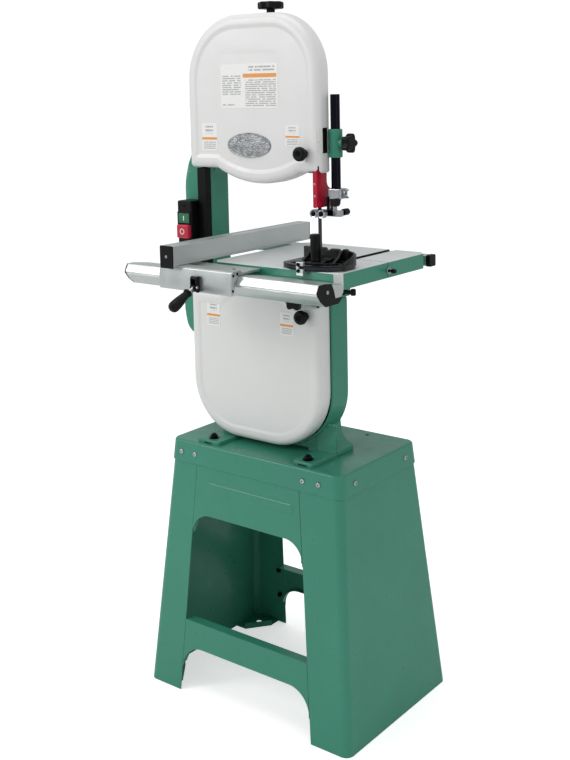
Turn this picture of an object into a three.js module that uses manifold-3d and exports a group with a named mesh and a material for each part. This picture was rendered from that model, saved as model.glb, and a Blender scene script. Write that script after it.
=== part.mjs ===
// A 14 inch vertical band saw on a sheet-metal stand, built in millimetres.
// X is to the operator's right, -Y faces the operator, +Z is up and the floor is z = 0.
import * as THREE from "three";
import Module from "manifold-3d";

const wasm = await Module();
wasm.setup();
const { Manifold, Mesh } = wasm;

// ---- driving dimensions ----
const STAND_H = 637;
const STAND_FOOT_HX = 316;
const STAND_FOOT_HY = 222;
const STAND_TOP_HX = 261;
const STAND_TOP_HY = 162.5;
const STAND_SHEET = 2.6;
const STAND_CORNER_R = 24;
const CAP_SHEET = 3;
const CAP_SKIRT = 54;
const SEAM_X_TOP = 155;
const SEAM_X_FOOT = 205;
const SEAM_SHIFT = 17;
const ARCH_TOP_Z = 461;
const ARCH_HAUNCH_Z = 408;
const BAR_TOP_Z = 185;
const BAR_ARCH_Z = 120;
const BAR_END_Z = 62;

const WHEEL_X = -28.6;
const WHEEL_SEGMENTS = 44;
const WHEEL_R = 177.2;
const TYRE_T = 3.2;
const WHEEL_W = 25;
const LOWER_WHEEL_Z = 856;
const UPPER_WHEEL_Z = 1484;
const BLADE_GAP = 0.3;
const BLADE_T = 0.8;
const BLADE_W = 12.7;
const BLADE_Y = -71;
const LOWER_KNOB_Z = 980;

const COVER_FRONT_Y = -97;
const COVER_BACK_Y = -55.5;
const COVER_WALL = 3;
const UPPER_COVER_TOP = 1684.5;
const UPPER_COVER_BOTTOM = 1314;
const LOWER_COVER_TOP = 1012;
const LOWER_COVER_BOTTOM = 647.5;
const UPPER_COVER = {
  left: -233, right: 167, far: UPPER_COVER_TOP, flatLeft: 1319, flatRight: UPPER_COVER_BOTTOM,
  bulgeX: -14.6, bulgeZ: 1555.9, bulgeR: 271, cornerLeft: 155, cornerRight: 141,
};
const LOWER_COVER = {
  left: -243, right: 160.5, far: LOWER_COVER_BOTTOM, flatLeft: LOWER_COVER_TOP, flatRight: LOWER_COVER_TOP,
  bulgeX: -28.6, bulgeZ: 856, bulgeR: 198, cornerLeft: 140, cornerRight: 150,
};
// the cast pan behind the lower cover stands a little proud of it on the table side
const LOWER_PAN = { ...LOWER_COVER, left: -242.5, right: 167.5, cornerRight: 140 };

const FRAME_FRONT_Y = -54.5;
const FRAME_BACK_Y = 9;
const COLUMN_RIGHT_X = -194;
const COLUMN_LEFT_X = -298;
const JOINT_Z = 1150;

const BLADE_X = WHEEL_X + (WHEEL_R + BLADE_GAP) / Math.cos(Math.PI / WHEEL_SEGMENTS) + BLADE_T / 2;
const TABLE_HALF = 177.8;
const TABLE_TOP_Z = 1120;
const TABLE_SKIRT = 36;
const TABLE_PLATE = 12;
const MITER_SLOT_X = 234;
const MITER_SLOT_W = 19.4;
const MITER_SLOT_D = 9.6;
const INSERT_R = 30;
const SLIT_Y = BLADE_Y + 10;
const SLIT_W = 2.4;

const RAIL_X0 = -220;
const RAIL_X1 = 334;
const FENCE_X0 = -77.7;
const FENCE_X1 = -39;
const FENCE_Y0 = -369;
const FENCE_Y1 = 139;
const FENCE_Z0 = 1121.9;
const FENCE_Z1 = 1167.4;
const CARRIAGE_X0 = -96;
const CARRIAGE_X1 = 118;

const POST_X = 183;
const POST_Y = -52;
const POST_R = 11;
const POST_Z0 = 1250;
const POST_Z1 = 1494;

const MOTOR_X = -132;
const MOTOR_Z = 760;
const MOTOR_R = 72;

// ---- small mesh kit ----
function solidOf(points, triangles) {
  const mesh = new Mesh({
    numProp: 3,
    vertProperties: new Float32Array(points.flat()),
    triVerts: new Uint32Array(triangles.flat()),
  });
  mesh.merge();
  const made = new Manifold(mesh);
  if (made.volume() >= 0) return made;
  const flipped = triangles.map(([a, b, c]) => [a, c, b]);
  return solidOf(points, flipped);
}

// Stack closed loops of 3-D points into one skin with flat ends.
function loft(loops, capAxes = [0, 1]) {
  const n = loops[0].length;
  const points = loops.flat();
  const triangles = [];
  for (let k = 0; k + 1 < loops.length; k += 1) {
    for (let i = 0; i < n; i += 1) {
      const j = (i + 1) % n;
      triangles.push([k * n + i, k * n + j, (k + 1) * n + j]);
      triangles.push([k * n + i, (k + 1) * n + j, (k + 1) * n + i]);
    }
  }
  const flat = loops[0].map((p) => new THREE.Vector2(p[capAxes[0]], p[capAxes[1]]));
  const reversed = THREE.ShapeUtils.isClockWise(flat);
  const faces = THREE.ShapeUtils.triangulateShape(reversed ? flat.slice().reverse() : flat, []);
  const last = (loops.length - 1) * n;
  const turn = (i) => (reversed ? n - 1 - i : i);
  // the first end looks back along the stack and the last end looks forward
  for (const f of faces) {
    const [a, b, c] = f.map(turn);
    const ends = reversed ? [[a, b, c], [a, c, b]] : [[a, c, b], [a, b, c]];
    triangles.push(ends[0]);
    triangles.push(ends[1].map((i) => last + i));
  }
  return solidOf(points, triangles);
}

// Straight extrusion of a 2-D outline: axis x takes (y, z), axis y takes (x, z), axis z takes (x, y).
function prism(outline, axis, from, to) {
  const place = {
    x: (p, w) => [w, p[0], p[1]],
    y: (p, w) => [p[0], w, p[1]],
    z: (p, w) => [p[0], p[1], w],
  }[axis];
  const axes = { x: [1, 2], y: [0, 2], z: [0, 1] }[axis];
  return loft([outline.map((p) => place(p, from)), outline.map((p) => place(p, to))], axes);
}

// Extrusion with both outer edges chamfered by c, from an outline and a slightly smaller copy of it.
function softPrism(outer, inner, axis, from, to, c) {
  const place = {
    x: (p, w) => [w, p[0], p[1]],
    y: (p, w) => [p[0], w, p[1]],
    z: (p, w) => [p[0], p[1], w],
  }[axis];
  const axes = { x: [1, 2], y: [0, 2], z: [0, 1] }[axis];
  return loft(
    [
      inner.map((p) => place(p, from)),
      outer.map((p) => place(p, from + c)),
      outer.map((p) => place(p, to - c)),
      inner.map((p) => place(p, to)),
    ],
    axes,
  );
}

function box(x0, x1, y0, y1, z0, z1) {
  const base = [[x0, y0], [x1, y0], [x1, y1], [x0, y1]];
  return prism(base, "z", z0, z1);
}

// A turned solid: profile of [radius, height] from axis to axis, along an axis through (a, b).
function turned(profile, axis, a, b, segments = 24) {
  const place = {
    x: (u, v, w) => [w, a + u, b + v],
    y: (u, v, w) => [a + u, w, b + v],
    z: (u, v, w) => [a + u, b + v, w],
  }[axis];
  const rings = profile.slice(1, -1);
  const points = [place(0, 0, profile[0][1])];
  for (const [r, h] of rings) {
    for (let i = 0; i < segments; i += 1) {
      const t = (2 * Math.PI * i) / segments;
      points.push(place(r * Math.cos(t), r * Math.sin(t), h));
    }
  }
  points.push(place(0, 0, profile[profile.length - 1][1]));
  const triangles = [];
  const end = points.length - 1;
  for (let i = 0; i < segments; i += 1) {
    const j = (i + 1) % segments;
    triangles.push([0, 1 + j, 1 + i]);
    for (let k = 0; k + 1 < rings.length; k += 1) {
      const p = 1 + k * segments;
      const q = p + segments;
      triangles.push([p + i, p + j, q + j]);
      triangles.push([p + i, q + j, q + i]);
    }
    const last = 1 + (rings.length - 1) * segments;
    triangles.push([last + i, last + j, end]);
  }
  return solidOf(points, triangles);
}

function rod(axis, a, b, r, from, to, segments = 24, chamfer = 0) {
  const profile = chamfer
    ? [[0, from], [r - chamfer, from], [r, from + chamfer], [r, to - chamfer], [r - chamfer, to], [0, to]]
    : [[0, from], [r, from], [r, to], [0, to]];
  return turned(profile, axis, a, b, segments);
}

function ring(axis, a, b, rOut, rIn, from, to, segments = 32) {
  return rod(axis, a, b, rOut, from, to, segments).subtract(rod(axis, a, b, rIn, from - 1, to + 1, segments));
}

function arc(cx, cy, r, fromDeg, toDeg, steps) {
  const out = [];
  for (let i = 0; i <= steps; i += 1) {
    const t = ((fromDeg + ((toDeg - fromDeg) * i) / steps) * Math.PI) / 180;
    out.push([cx + r * Math.cos(t), cy + r * Math.sin(t)]);
  }
  return out;
}

function roundedRect(x0, x1, y0, y1, r, steps = 4) {
  return [
    ...arc(x1 - r, y0 + r, r, -90, 0, steps),
    ...arc(x1 - r, y1 - r, r, 0, 90, steps),
    ...arc(x0 + r, y1 - r, r, 90, 180, steps),
    ...arc(x0 + r, y0 + r, r, 180, 270, steps),
  ];
}

function join(...parts) {
  return parts.reduce((whole, p) => whole.add(p));
}

function cut(whole, ...tools) {
  return tools.reduce((left, tool) => left.subtract(tool), whole);
}

function turnY(solid, x, z, degrees) {
  return solid.translate([-x, 0, -z]).rotate([0, degrees, 0]).translate([x, 0, z]);
}

function turnX(solid, y, z, degrees) {
  return solid.translate([0, -y, -z]).rotate([degrees, 0, 0]).translate([0, y, z]);
}

function turnZ(solid, x, y, degrees) {
  return solid.translate([-x, -y, 0]).rotate([0, 0, degrees]).translate([x, y, 0]);
}

// A lobed hand knob: its outline swells and shrinks round the circle.
function lobed(axis, a, b, rMean, swing, lobes, from, to, steps = 40) {
  const outline = (scale) => {
    const out = [];
    for (let i = 0; i < steps; i += 1) {
      const t = (2 * Math.PI * i) / steps;
      const r = (rMean + swing * Math.cos(lobes * t)) * scale;
      out.push([a + r * Math.cos(t), b + r * Math.sin(t)]);
    }
    return out;
  };
  return softPrism(outline(1), outline(0.88), axis, from, to, Math.min(3, (to - from) * 0.25));
}

const PAINTS = {
  green_paint: [0x4f9280, 0.1, 0.5],
  white_paint: [0xdcdddd, 0.0, 0.5],
  black_plastic: [0x17181c, 0.0, 0.45],
  red_plastic: [0xb5152f, 0.0, 0.4],
  green_plastic: [0x0d6b45, 0.0, 0.4],
  bare_aluminium: [0xc9ccce, 0.9, 0.35],
  ground_iron: [0xb8bcbc, 0.9, 0.3],
  steel: [0xa9adb3, 1.0, 0.3],
  black_steel: [0x1c1e24, 0.8, 0.35],
  spring_steel: [0x5d6067, 1.0, 0.35],
  rubber: [0x1d1c1b, 0.0, 0.8],
  grey_casting: [0x8c9092, 0.8, 0.5],
  motor_paint: [0x2a2c30, 0.2, 0.5],
};

const model = new THREE.Group();
model.name = "band_saw";

function node(name, solid, paint) {
  const mesh = solid.getMesh();
  const at = new Float32Array(mesh.numVert * 3);
  for (let i = 0; i < mesh.numVert; i += 1) {
    for (let k = 0; k < 3; k += 1) at[3 * i + k] = mesh.vertProperties[i * mesh.numProp + k];
  }
  const indexed = new THREE.BufferGeometry();
  indexed.setAttribute("position", new THREE.BufferAttribute(at, 3));
  indexed.setIndex(Array.from(mesh.triVerts));
  const [color, metalness, roughness] = PAINTS[paint];
  const shown = new THREE.Mesh(indexed, new THREE.MeshStandardMaterial({ color, metalness, roughness }));
  shown.name = name;
  model.add(shown);
}

// ---- stand ----
const standHX = (z) => STAND_FOOT_HX + ((STAND_TOP_HX - STAND_FOOT_HX) * z) / STAND_H;
const standHY = (z) => STAND_FOOT_HY + ((STAND_TOP_HY - STAND_FOOT_HY) * z) / STAND_H;
// distance of a leg seam from the middle; the panels lean a little to the column side towards the top
const seamX = (z, side) => SEAM_X_FOOT + ((SEAM_X_TOP - side * SEAM_SHIFT - SEAM_X_FOOT) * z) / STAND_H;

function standLoop(z, inset) {
  const hx = standHX(z) - inset;
  const hy = standHY(z) - inset;
  return roundedRect(-hx, hx, -hy, hy, STAND_CORNER_R - inset, 5).map((p) => [p[0], p[1], z]);
}

const skirtZ = STAND_H - CAP_SKIRT;
const capOuter = loft([
  standLoop(skirtZ, 0),
  standLoop(STAND_H - 5, 0),
  standLoop(STAND_H - 1.5, 1.5),
  standLoop(STAND_H, 5),
]);
const capInner = loft([standLoop(skirtZ - 5, CAP_SHEET), standLoop(STAND_H - CAP_SHEET, CAP_SHEET)]);
const SAW_BOLTS = [[-158, -127], [148, -127], [-158, -6], [148, -6]];
const capHoles = SAW_BOLTS.map(([x, y]) => rod("z", x, y, 5.5, STAND_H - 10, STAND_H + 5, 12));
node(
  "stand_top",
  cut(capOuter, capInner, ...capHoles, rod("z", 137, 132, 6, STAND_H - 10, STAND_H + 5, 12)),
  "green_paint",
);

const PANEL_GAP = CAP_SHEET + 0.4;
const PANEL_TOP_Z = STAND_H - CAP_SHEET - 0.4;

// one bent side panel: a flat side with a leg flange round each corner
function sidePanel(side) {
  const outlineAt = (z, inset) => {
    const hx = standHX(z) - inset;
    const hy = standHY(z) - inset;
    const r = STAND_CORNER_R - inset;
    const front = arc(hx - r, -hy + r, r, -90, 0, 5);
    const back = arc(hx - r, hy - r, r, 0, 90, 5);
    return [[seamX(z, side) + 0.6, -hy], ...front, ...back, [seamX(z, side) + 0.6, hy]];
  };
  const loopAt = (z) => {
    const outer = outlineAt(z, PANEL_GAP);
    const inner = outlineAt(z, PANEL_GAP + STAND_SHEET).reverse();
    return [...outer, ...inner].map((p) => [side * p[0], p[1], z]);
  };
  const shell = loft([loopAt(0.2), loopAt(PANEL_TOP_Z)]);
  const gussets = [-1, 1].map((end) => {
    const hx = standHX(0) - PANEL_GAP - 0.5;
    const hy = standHY(0) - PANEL_GAP - 0.5;
    const r = STAND_CORNER_R - PANEL_GAP - 0.5;
    const corner = arc(hx - r, end * (hy - r), r, end > 0 ? 0 : -90, end > 0 ? 90 : 0, 5);
    const flange = end > 0 ? [...corner, [hx - 78, hy], [hx - 78, hy - 30], [hx - 30, hy - 92], [hx, hy - 92]]
      : [[hx - 78, -hy], ...corner, [hx, -hy + 92], [hx - 30, -hy + 92], [hx - 78, -hy + 30]];
    const outline = flange.map((p) => [side * p[0], p[1]]);
    return prism(outline, "z", 0.2, 3.2).subtract(rod("z", side * (hx - 36), end * (hy - 36), 6, -1, 5, 12));
  });
  return join(shell, ...gussets);
}
node("stand_side_left", sidePanel(-1), "green_paint");
node("stand_side_right", sidePanel(1), "green_paint");

// a flat panel standing on the sloped front or back of the stand, cut by an outline in x and z
function facePanel(outline, sign, inset, thick) {
  const yOf = (z, d) => sign * (standHY(z) - inset - d);
  const outer = outline.map(([x, z]) => [x, yOf(z, 0), z]);
  const inner = outline.map(([x, z]) => [x, yOf(z, thick), z]);
  return loft([outer, inner], [0, 2]);
}

function archPanel(sign) {
  const top = PANEL_TOP_Z;
  const haunch = (side) =>
    arc(seamX(ARCH_HAUNCH_Z, side) - 55.4, ARCH_HAUNCH_Z - 2, 55, 0, 90, 6).map(([x, z]) => [side * x, z]);
  const outline = [
    [-seamX(top, -1) + 0.4, top], ...haunch(-1), ...haunch(1).reverse(), [seamX(top, 1) - 0.4, top],
  ];
  const face = facePanel(outline, sign, PANEL_GAP, STAND_SHEET);
  // joggled tabs reach behind the side panels, where the spot welds would be
  const tab = (side, z0) => [
    [side * (seamX(z0, side) - 6), z0],
    [side * (seamX(z0, side) + 24), z0],
    [side * (seamX(top, side) + 24), top],
    [side * (seamX(top, side) - 6), top],
  ];
  const behind = [-1, 1].map((side) =>
    facePanel(tab(side, ARCH_HAUNCH_Z + 4), sign, PANEL_GAP + STAND_SHEET + 0.4, STAND_SHEET));
  const step = [-1, 1].map((side) => {
    const inner = [
      [side * (seamX(ARCH_HAUNCH_Z + 30, side) - 14), ARCH_HAUNCH_Z + 30],
      [side * (seamX(ARCH_HAUNCH_Z + 30, side) - 1), ARCH_HAUNCH_Z + 30],
      [side * (seamX(top, side) - 1), top],
      [side * (seamX(top, side) - 14), top],
    ];
    return facePanel(inner, sign, PANEL_GAP + 1, STAND_SHEET + 1);
  });
  return join(face, ...step, ...behind);
}
node("stand_front_panel", archPanel(-1), "green_paint");
node("stand_rear_panel", archPanel(1), "green_paint");

function crossBar(sign) {
  const sx = (z, side) => seamX(z, side) - 0.4;
  const under = (side) =>
    arc(sx(BAR_END_Z, side) - 62, BAR_ARCH_Z - 62, 62, 0, 90, 7).map(([x, z]) => [side * x, z]);
  const outline = [
    [-sx(BAR_TOP_Z, -1), BAR_TOP_Z], ...under(-1), ...under(1).reverse(), [sx(BAR_TOP_Z, 1), BAR_TOP_Z],
  ];
  const face = facePanel(outline, sign, PANEL_GAP, STAND_SHEET);
  const lipL = 2 - sx(BAR_TOP_Z, -1);
  const lipR = sx(BAR_TOP_Z, 1) - 2;
  const lip = facePanel(
    [[lipL, BAR_TOP_Z - 0.4], [lipL, BAR_TOP_Z - 3], [lipR, BAR_TOP_Z - 3], [lipR, BAR_TOP_Z - 0.4]],
    sign, PANEL_GAP + 1, 26,
  );
  return join(face, lip);
}
node("stand_front_bar", crossBar(-1), "green_paint");
node("stand_rear_bar", crossBar(1), "green_paint");

// ---- cast frame ----
// outline of a wheel housing: straight sides, rounded far corners and a round bulge by the throat
function housing(shape, inset) {
  const upper = shape.far > shape.bulgeZ;
  const x0 = shape.left + inset;
  const x1 = shape.right - inset;
  const rl = shape.cornerLeft - inset;
  const rr = shape.cornerRight - inset;
  const bulge = shape.bulgeR - inset;
  const reach = (flat) => (Math.asin(Math.abs(flat - shape.bulgeZ) / bulge) * 180) / Math.PI;
  if (upper) {
    const [a, b] = [shape.flatLeft + inset, shape.flatRight + inset];
    const top = shape.far - inset;
    return [
      [x0, a + 4],
      [x0 + 4, a],
      ...arc(shape.bulgeX, shape.bulgeZ, bulge, 180 + reach(a), 360 - reach(b), 12),
      [x1 - 4, b],
      [x1, b + 4],
      ...arc(x1 - rr, top - rr, rr, 0, 90, 8),
      ...arc(x0 + rl, top - rl, rl, 90, 180, 8),
    ];
  }
  const flat = shape.flatLeft - inset;
  const bottom = shape.far + inset;
  return [
    ...arc(x0 + rl, bottom + rl, rl, 180, 270, 8),
    ...arc(x1 - rr, bottom + rr, rr, 270, 360, 8),
    [x1, flat - 4],
    [x1 - 4, flat],
    ...arc(shape.bulgeX, shape.bulgeZ, bulge, reach(flat), 180 - reach(flat), 10),
    [x0 + 4, flat],
    [x0, flat - 4],
  ];
}

const lowerOutline = housing(LOWER_PAN, 0);
const lowerInner = housing(LOWER_PAN, 7.5);
const panBack = FRAME_BACK_Y - 9;
const lowerPan = cut(
  prism(lowerOutline, "y", FRAME_FRONT_Y, FRAME_BACK_Y),
  prism(lowerInner, "y", FRAME_FRONT_Y - 1, panBack),
);
// pedestal under the pan, flaring to the feet
const pedestal = prism(
  [
    [-184, 637.3], [174, 637.3], [174, 655], [160, 662], [146, 676], [138, 700], [137, 740],
    [-147, 740], [-148, 700], [-156, 676], [-170, 662], [-184, 655],
  ],
  "y", -48, 17,
);
const pedestalTrim = prism(lowerInner, "y", FRAME_FRONT_Y - 1, panBack);
const frontSill = box(-184, 174, -49, -47.5, 637.3, 652);
function foot(x0, x1) {
  const pad = softPrism(
    roundedRect(x0, x1, -150, -40, 6, 2),
    roundedRect(x0 + 1, x1 - 1, -149, -41, 5, 2),
    "z", 637.3, 646.5, 1,
  );
  const mid = (x0 + x1) / 2;
  const web = prism([[-54, 640], [-54, 664], [-46, 700], [-46, 640]], "x", mid - 20, mid + 20);
  return join(pad, web);
}
const footRelief = prism([[-92, 630], [92, 630], [92, 646], [-92, 646]].map(([x, z]) => [x - 5, z]), "y", -60, -40);
const footSlots = SAW_BOLTS.map(([x, y]) => rod("z", x, y, 5.5, 630, 670, 12));
// column: right face flat to the throat, left face rounded
function columnLoop(leftX, z) {
  const r = Math.max(6, Math.min(30, (-205 - leftX) * 0.55));
  const loop = [
    ...arc(leftX + r, FRAME_FRONT_Y + r - 6, r, 180, 270, 5),
    [COLUMN_RIGHT_X - 5, FRAME_FRONT_Y - 6],
    [COLUMN_RIGHT_X, FRAME_FRONT_Y - 1],
    [COLUMN_RIGHT_X, FRAME_BACK_Y - 6],
    [COLUMN_RIGHT_X - 6, FRAME_BACK_Y],
    ...arc(leftX + r, FRAME_BACK_Y - r, r, 90, 180, 5),
  ];
  return loop.map(([x, y]) => [x, y, z]);
}
// the column bulges above the housing and closes in under the bulge
const columnLow = loft([
  columnLoop(-311, 983),
  columnLoop(-303, 1040),
  columnLoop(COLUMN_LEFT_X, 1100),
  columnLoop(COLUMN_LEFT_X, JOINT_Z),
]);
const columnRoot = loft([
  columnLoop(-262, 884),
  columnLoop(-289, 889),
  columnLoop(-301, 899),
  columnLoop(-309, 924),
  columnLoop(-313, 951),
  columnLoop(-311, 983.5),
]);
const rootTrim = box(-330, -180, -70, FRAME_FRONT_Y, 880, LOWER_COVER_TOP + 1);
const shoulder = prism(
  [[COLUMN_RIGHT_X - 2, 960], [COLUMN_RIGHT_X + 60, 990], [COLUMN_RIGHT_X + 30, 1016], [COLUMN_RIGHT_X + 8, 1040],
    [COLUMN_RIGHT_X - 2, 1080]],
  "y", -46, FRAME_BACK_Y,
);
const lowerBoss = rod("y", WHEEL_X, LOWER_WHEEL_Z, 32, panBack - 20, FRAME_BACK_Y + 28, 24);
const lowerBore = rod("y", WHEEL_X, LOWER_WHEEL_Z, 12.7, panBack - 30, FRAME_BACK_Y + 40, 20);
const lowerRibs = [20, 90, 160, 200, 270, 340].map((deg) => {
  const rib = box(WHEEL_X + 30, WHEEL_X + 168, FRAME_BACK_Y - 1, FRAME_BACK_Y + 10, LOWER_WHEEL_Z - 5, LOWER_WHEEL_Z + 5);
  return turnY(rib, WHEEL_X, LOWER_WHEEL_Z, deg);
});
const motorFoot = box(MOTOR_X - 62, MOTOR_X + 46, FRAME_BACK_Y - 1, FRAME_BACK_Y + 10, MOTOR_Z - 50, MOTOR_Z + 50);
const saddleSeat = box(112, 167, -48, FRAME_BACK_Y, 985, 1014.6);
const HINGE_X = -250;
const HINGE_Y = COVER_BACK_Y - 5;
// a lug with a barrel and a pin that a cover knuckle turns on
function hingeLug(z0, pinFrom, pinTo, reach) {
  return join(
    rod("z", HINGE_X, HINGE_Y, 5.5, z0, z0 + 22, 14),
    box(HINGE_X - 5, HINGE_X + 5, HINGE_Y, -36, z0, z0 + 22),
    box(HINGE_X - 5, HINGE_X + reach, -54.6, -36, z0, z0 + 22),
    rod("z", HINGE_X, HINGE_Y, 2.2, pinFrom, pinTo, 10),
  );
}
const lowerLugs = [hingeLug(800, 810, 843, 14), hingeLug(940, 918, 950, 14)];
const upperLugs = [hingeLug(1364, 1374, 1407, 46), hingeLug(1466, 1444, 1476, 46)];
node(
  "lower_frame",
  cut(
    join(
      lowerPan, cut(pedestal, pedestalTrim), frontSill, foot(-184, -113), foot(115, 174),
      cut(join(columnLow, columnRoot), rootTrim), shoulder, lowerBoss, ...lowerRibs, motorFoot, saddleSeat, ...lowerLugs,
    ),
    prism(housing(LOWER_PAN, 8), "y", FRAME_FRONT_Y - 30, panBack - 20),
    lowerBore, footRelief, ...footSlots,
    box(-218, -197, -90, -50, 900, JOINT_Z + 1),
    box(135, 159, -90, -50, 980, 1020),
  ),
  "green_paint",
);

// upper arm: continues the column, carries the wheel slide and ends in the post boss
const armRight = 112;
const armOutline = [
  [COLUMN_LEFT_X + 14, 1300],
  [COLUMN_RIGHT_X, 1300],
  [COLUMN_RIGHT_X + 10, 1330],
  [COLUMN_RIGHT_X + 50, 1352],
  [armRight, 1352],
  [armRight, 1420],
  [60, 1500],
  [30, 1640],
  [0, 1668],
  [-60, 1668],
  [-96, 1640],
  [-150, 1600],
  [-212, 1500],
  [-216, 1420],
  [-226, 1360],
];
const armPlate = prism(armOutline, "y", -46, FRAME_BACK_Y);
const armPocket = prism(
  [[-196, 1420], [-150, 1385], [-92, 1385], [-92, 1600], [-140, 1572], [-192, 1490]],
  "y", -60, -8,
);
const armPocketRight = prism([[32, 1385], [90, 1385], [90, 1412], [44, 1486], [32, 1560]], "y", -60, -8);
const columnHigh = loft([
  columnLoop(COLUMN_LEFT_X, JOINT_Z + 0.4),
  columnLoop(COLUMN_LEFT_X, 1270),
  columnLoop(-291, 1304),
]);
const columnTip = loft([
  columnLoop(-291, 1303),
  columnLoop(-284, 1326),
  columnLoop(-266, 1358),
  columnLoop(-240, 1395),
]);
const tipTrim = box(-330, -180, -70, FRAME_FRONT_Y, UPPER_COVER.flatLeft - 3, 1400);
const postArm = box(100, 174, -46, -36.5, 1362, 1404);
const postBoss = rod("z", POST_X, POST_Y, 16.2, 1350, 1415, 24, 2);
const postBore = rod("z", POST_X, POST_Y, POST_R + 0.4, 1340, 1425, 24);
const lockBoss = rod("x", POST_Y, 1383, 9, POST_X + 12, POST_X + 22, 20);
const lockBore = rod("x", POST_Y, 1383, 4.4, POST_X + 5, POST_X + 30, 16);
// dovetail window for the wheel slide
const slideWindow = box(WHEEL_X - 26, WHEEL_X + 26, -70, FRAME_BACK_Y + 5, 1424, 1560);
const springWindow = box(WHEEL_X - 19, WHEEL_X + 19, -42, FRAME_BACK_Y + 5, 1555, 1640);
const screwBore = rod("z", WHEEL_X, -14, 5.6, 1630, 1690, 16);
node(
  "upper_frame",
  cut(
    join(armPlate, cut(join(columnHigh, columnTip), tipTrim), postArm, postBoss, lockBoss, ...upperLugs),
    armPocket, armPocketRight, postBore, lockBore, slideWindow, springWindow, screwBore,
    box(-218, -197, -90, -50, JOINT_Z - 1, 1345),
  ),
  "green_paint",
);

// ---- covers ----
function coverShell(outline, inner, front) {
  const outerSkin = loft(
    [
      inner(3).map(([x, z]) => [x, front, z]),
      inner(0.8).map(([x, z]) => [x, front + 1, z]),
      inner(0).map(([x, z]) => [x, front + 3.2, z]),
      inner(0).map(([x, z]) => [x, COVER_BACK_Y, z]),
    ],
    [0, 2],
  );
  const hollow = prism(inner(COVER_WALL), "y", front + COVER_WALL, COVER_BACK_Y + 2);
  const recess = loft(
    [inner(22).map(([x, z]) => [x, front - 1, z]), inner(24.5).map(([x, z]) => [x, front + 1.4, z])],
    [0, 2],
  );
  return cut(outerSkin, hollow, recess);
}

function hingeKnuckles(zs, wallX) {
  return zs.map((z) => {
    const barrel = rod("z", HINGE_X, HINGE_Y, 5.5, z, z + 20, 14);
    const strap = box(HINGE_X, wallX + 2, HINGE_Y - 5, HINGE_Y + 1, z, z + 20);
    return cut(join(barrel, strap), rod("z", HINGE_X, HINGE_Y, 2.6, z - 1, z + 21, 10));
  });
}

const upperCoverLoop = (inset) => housing(UPPER_COVER, inset);
const lowerCoverLoop = (inset) => housing(LOWER_COVER, inset);
const bladeNotch = (right, z0, z1) => box(133, right, COVER_FRONT_Y + 4, COVER_BACK_Y + 3, z0, z1);
const chainNotch = (z0, z1) => box(-226, -190, -84, COVER_BACK_Y + 3, z0, z1);
const knobHole = (x, z) => rod("y", x, z, 4.6, COVER_FRONT_Y - 6, COVER_FRONT_Y + 8, 14);
const labelPad = (z0, z1, r) =>
  softPrism(
    roundedRect(-140, 56, z0, z1, r, 3),
    roundedRect(-138, 54, z0 + 2, z1 - 2, r - 1, 3),
    "y", COVER_FRONT_Y + 0.2, COVER_FRONT_Y + 2.6, 0.6,
  );
node(
  "upper_cover",
  cut(
    join(coverShell(null, upperCoverLoop, COVER_FRONT_Y), labelPad(1441, 1594, 16), ...hingeKnuckles([1386.5, 1445.5], UPPER_COVER.left)),
    bladeNotch(163.3, 1306, 1330),
    chainNotch(1312, 1330),
    knobHole(127, 1360),
  ),
  "white_paint",
);
node(
  "lower_cover",
  cut(
    join(coverShell(null, lowerCoverLoop, COVER_FRONT_Y), ...hingeKnuckles([822.5, 919.5], LOWER_COVER.left)),
    bladeNotch(157.2, 1002, 1016),
    chainNotch(1002, 1016),
    knobHole(121, LOWER_KNOB_Z),
  ),
  "white_paint",
);

function coverKnob(x, z) {
  const grip = turned(
    [[0, COVER_FRONT_Y - 26], [13, COVER_FRONT_Y - 26], [16, COVER_FRONT_Y - 23], [16.5, COVER_FRONT_Y - 12],
      [13, COVER_FRONT_Y - 9], [10, COVER_FRONT_Y - 0.4], [0, COVER_FRONT_Y - 0.4]],
    "y", x, z, 18,
  );
  return join(grip, rod("y", x, z, 4.2, COVER_FRONT_Y - 2, COVER_BACK_Y - 4, 14));
}
node("upper_cover_knob", coverKnob(127, 1360), "black_plastic");
node("lower_cover_knob", coverKnob(121, LOWER_KNOB_Z), "black_plastic");

// ---- wheels, blade, drive ----
function wheelCasting(wheelZ, boreR) {
  const y0 = BLADE_Y - WHEEL_W / 2 + 1;
  const y1 = BLADE_Y + WHEEL_W / 2 + 1;
  const rimR = WHEEL_R - TYRE_T - 0.6;
  const rim = ring("y", WHEEL_X, wheelZ, rimR, rimR - 13, y0, y1, WHEEL_SEGMENTS);
  const hub = rod("y", WHEEL_X, wheelZ, 27, y0 - 4, y1 + 6, 20, 2);
  const spokes = [0, 60, 120].map((deg) =>
    turnY(box(WHEEL_X - rimR + 8, WHEEL_X + rimR - 8, BLADE_Y - 5, BLADE_Y + 6, wheelZ - 10, wheelZ + 10), WHEEL_X, wheelZ, deg));
  return cut(join(rim, hub, ...spokes), rod("y", WHEEL_X, wheelZ, boreR, y0 - 20, y1 + 20, 20));
}
function wheelTyre(wheelZ) {
  const y0 = BLADE_Y - WHEEL_W / 2 + 1;
  const y1 = BLADE_Y + WHEEL_W / 2 + 1;
  return ring("y", WHEEL_X, wheelZ, WHEEL_R, WHEEL_R - TYRE_T, y0, y1, WHEEL_SEGMENTS);
}
node("lower_wheel", wheelCasting(LOWER_WHEEL_Z, 12.3), "grey_casting");
node("lower_tyre", wheelTyre(LOWER_WHEEL_Z), "rubber");
node("upper_wheel", wheelCasting(UPPER_WHEEL_Z, 10.3), "grey_casting");
node("upper_tyre", wheelTyre(UPPER_WHEEL_Z), "rubber");

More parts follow.
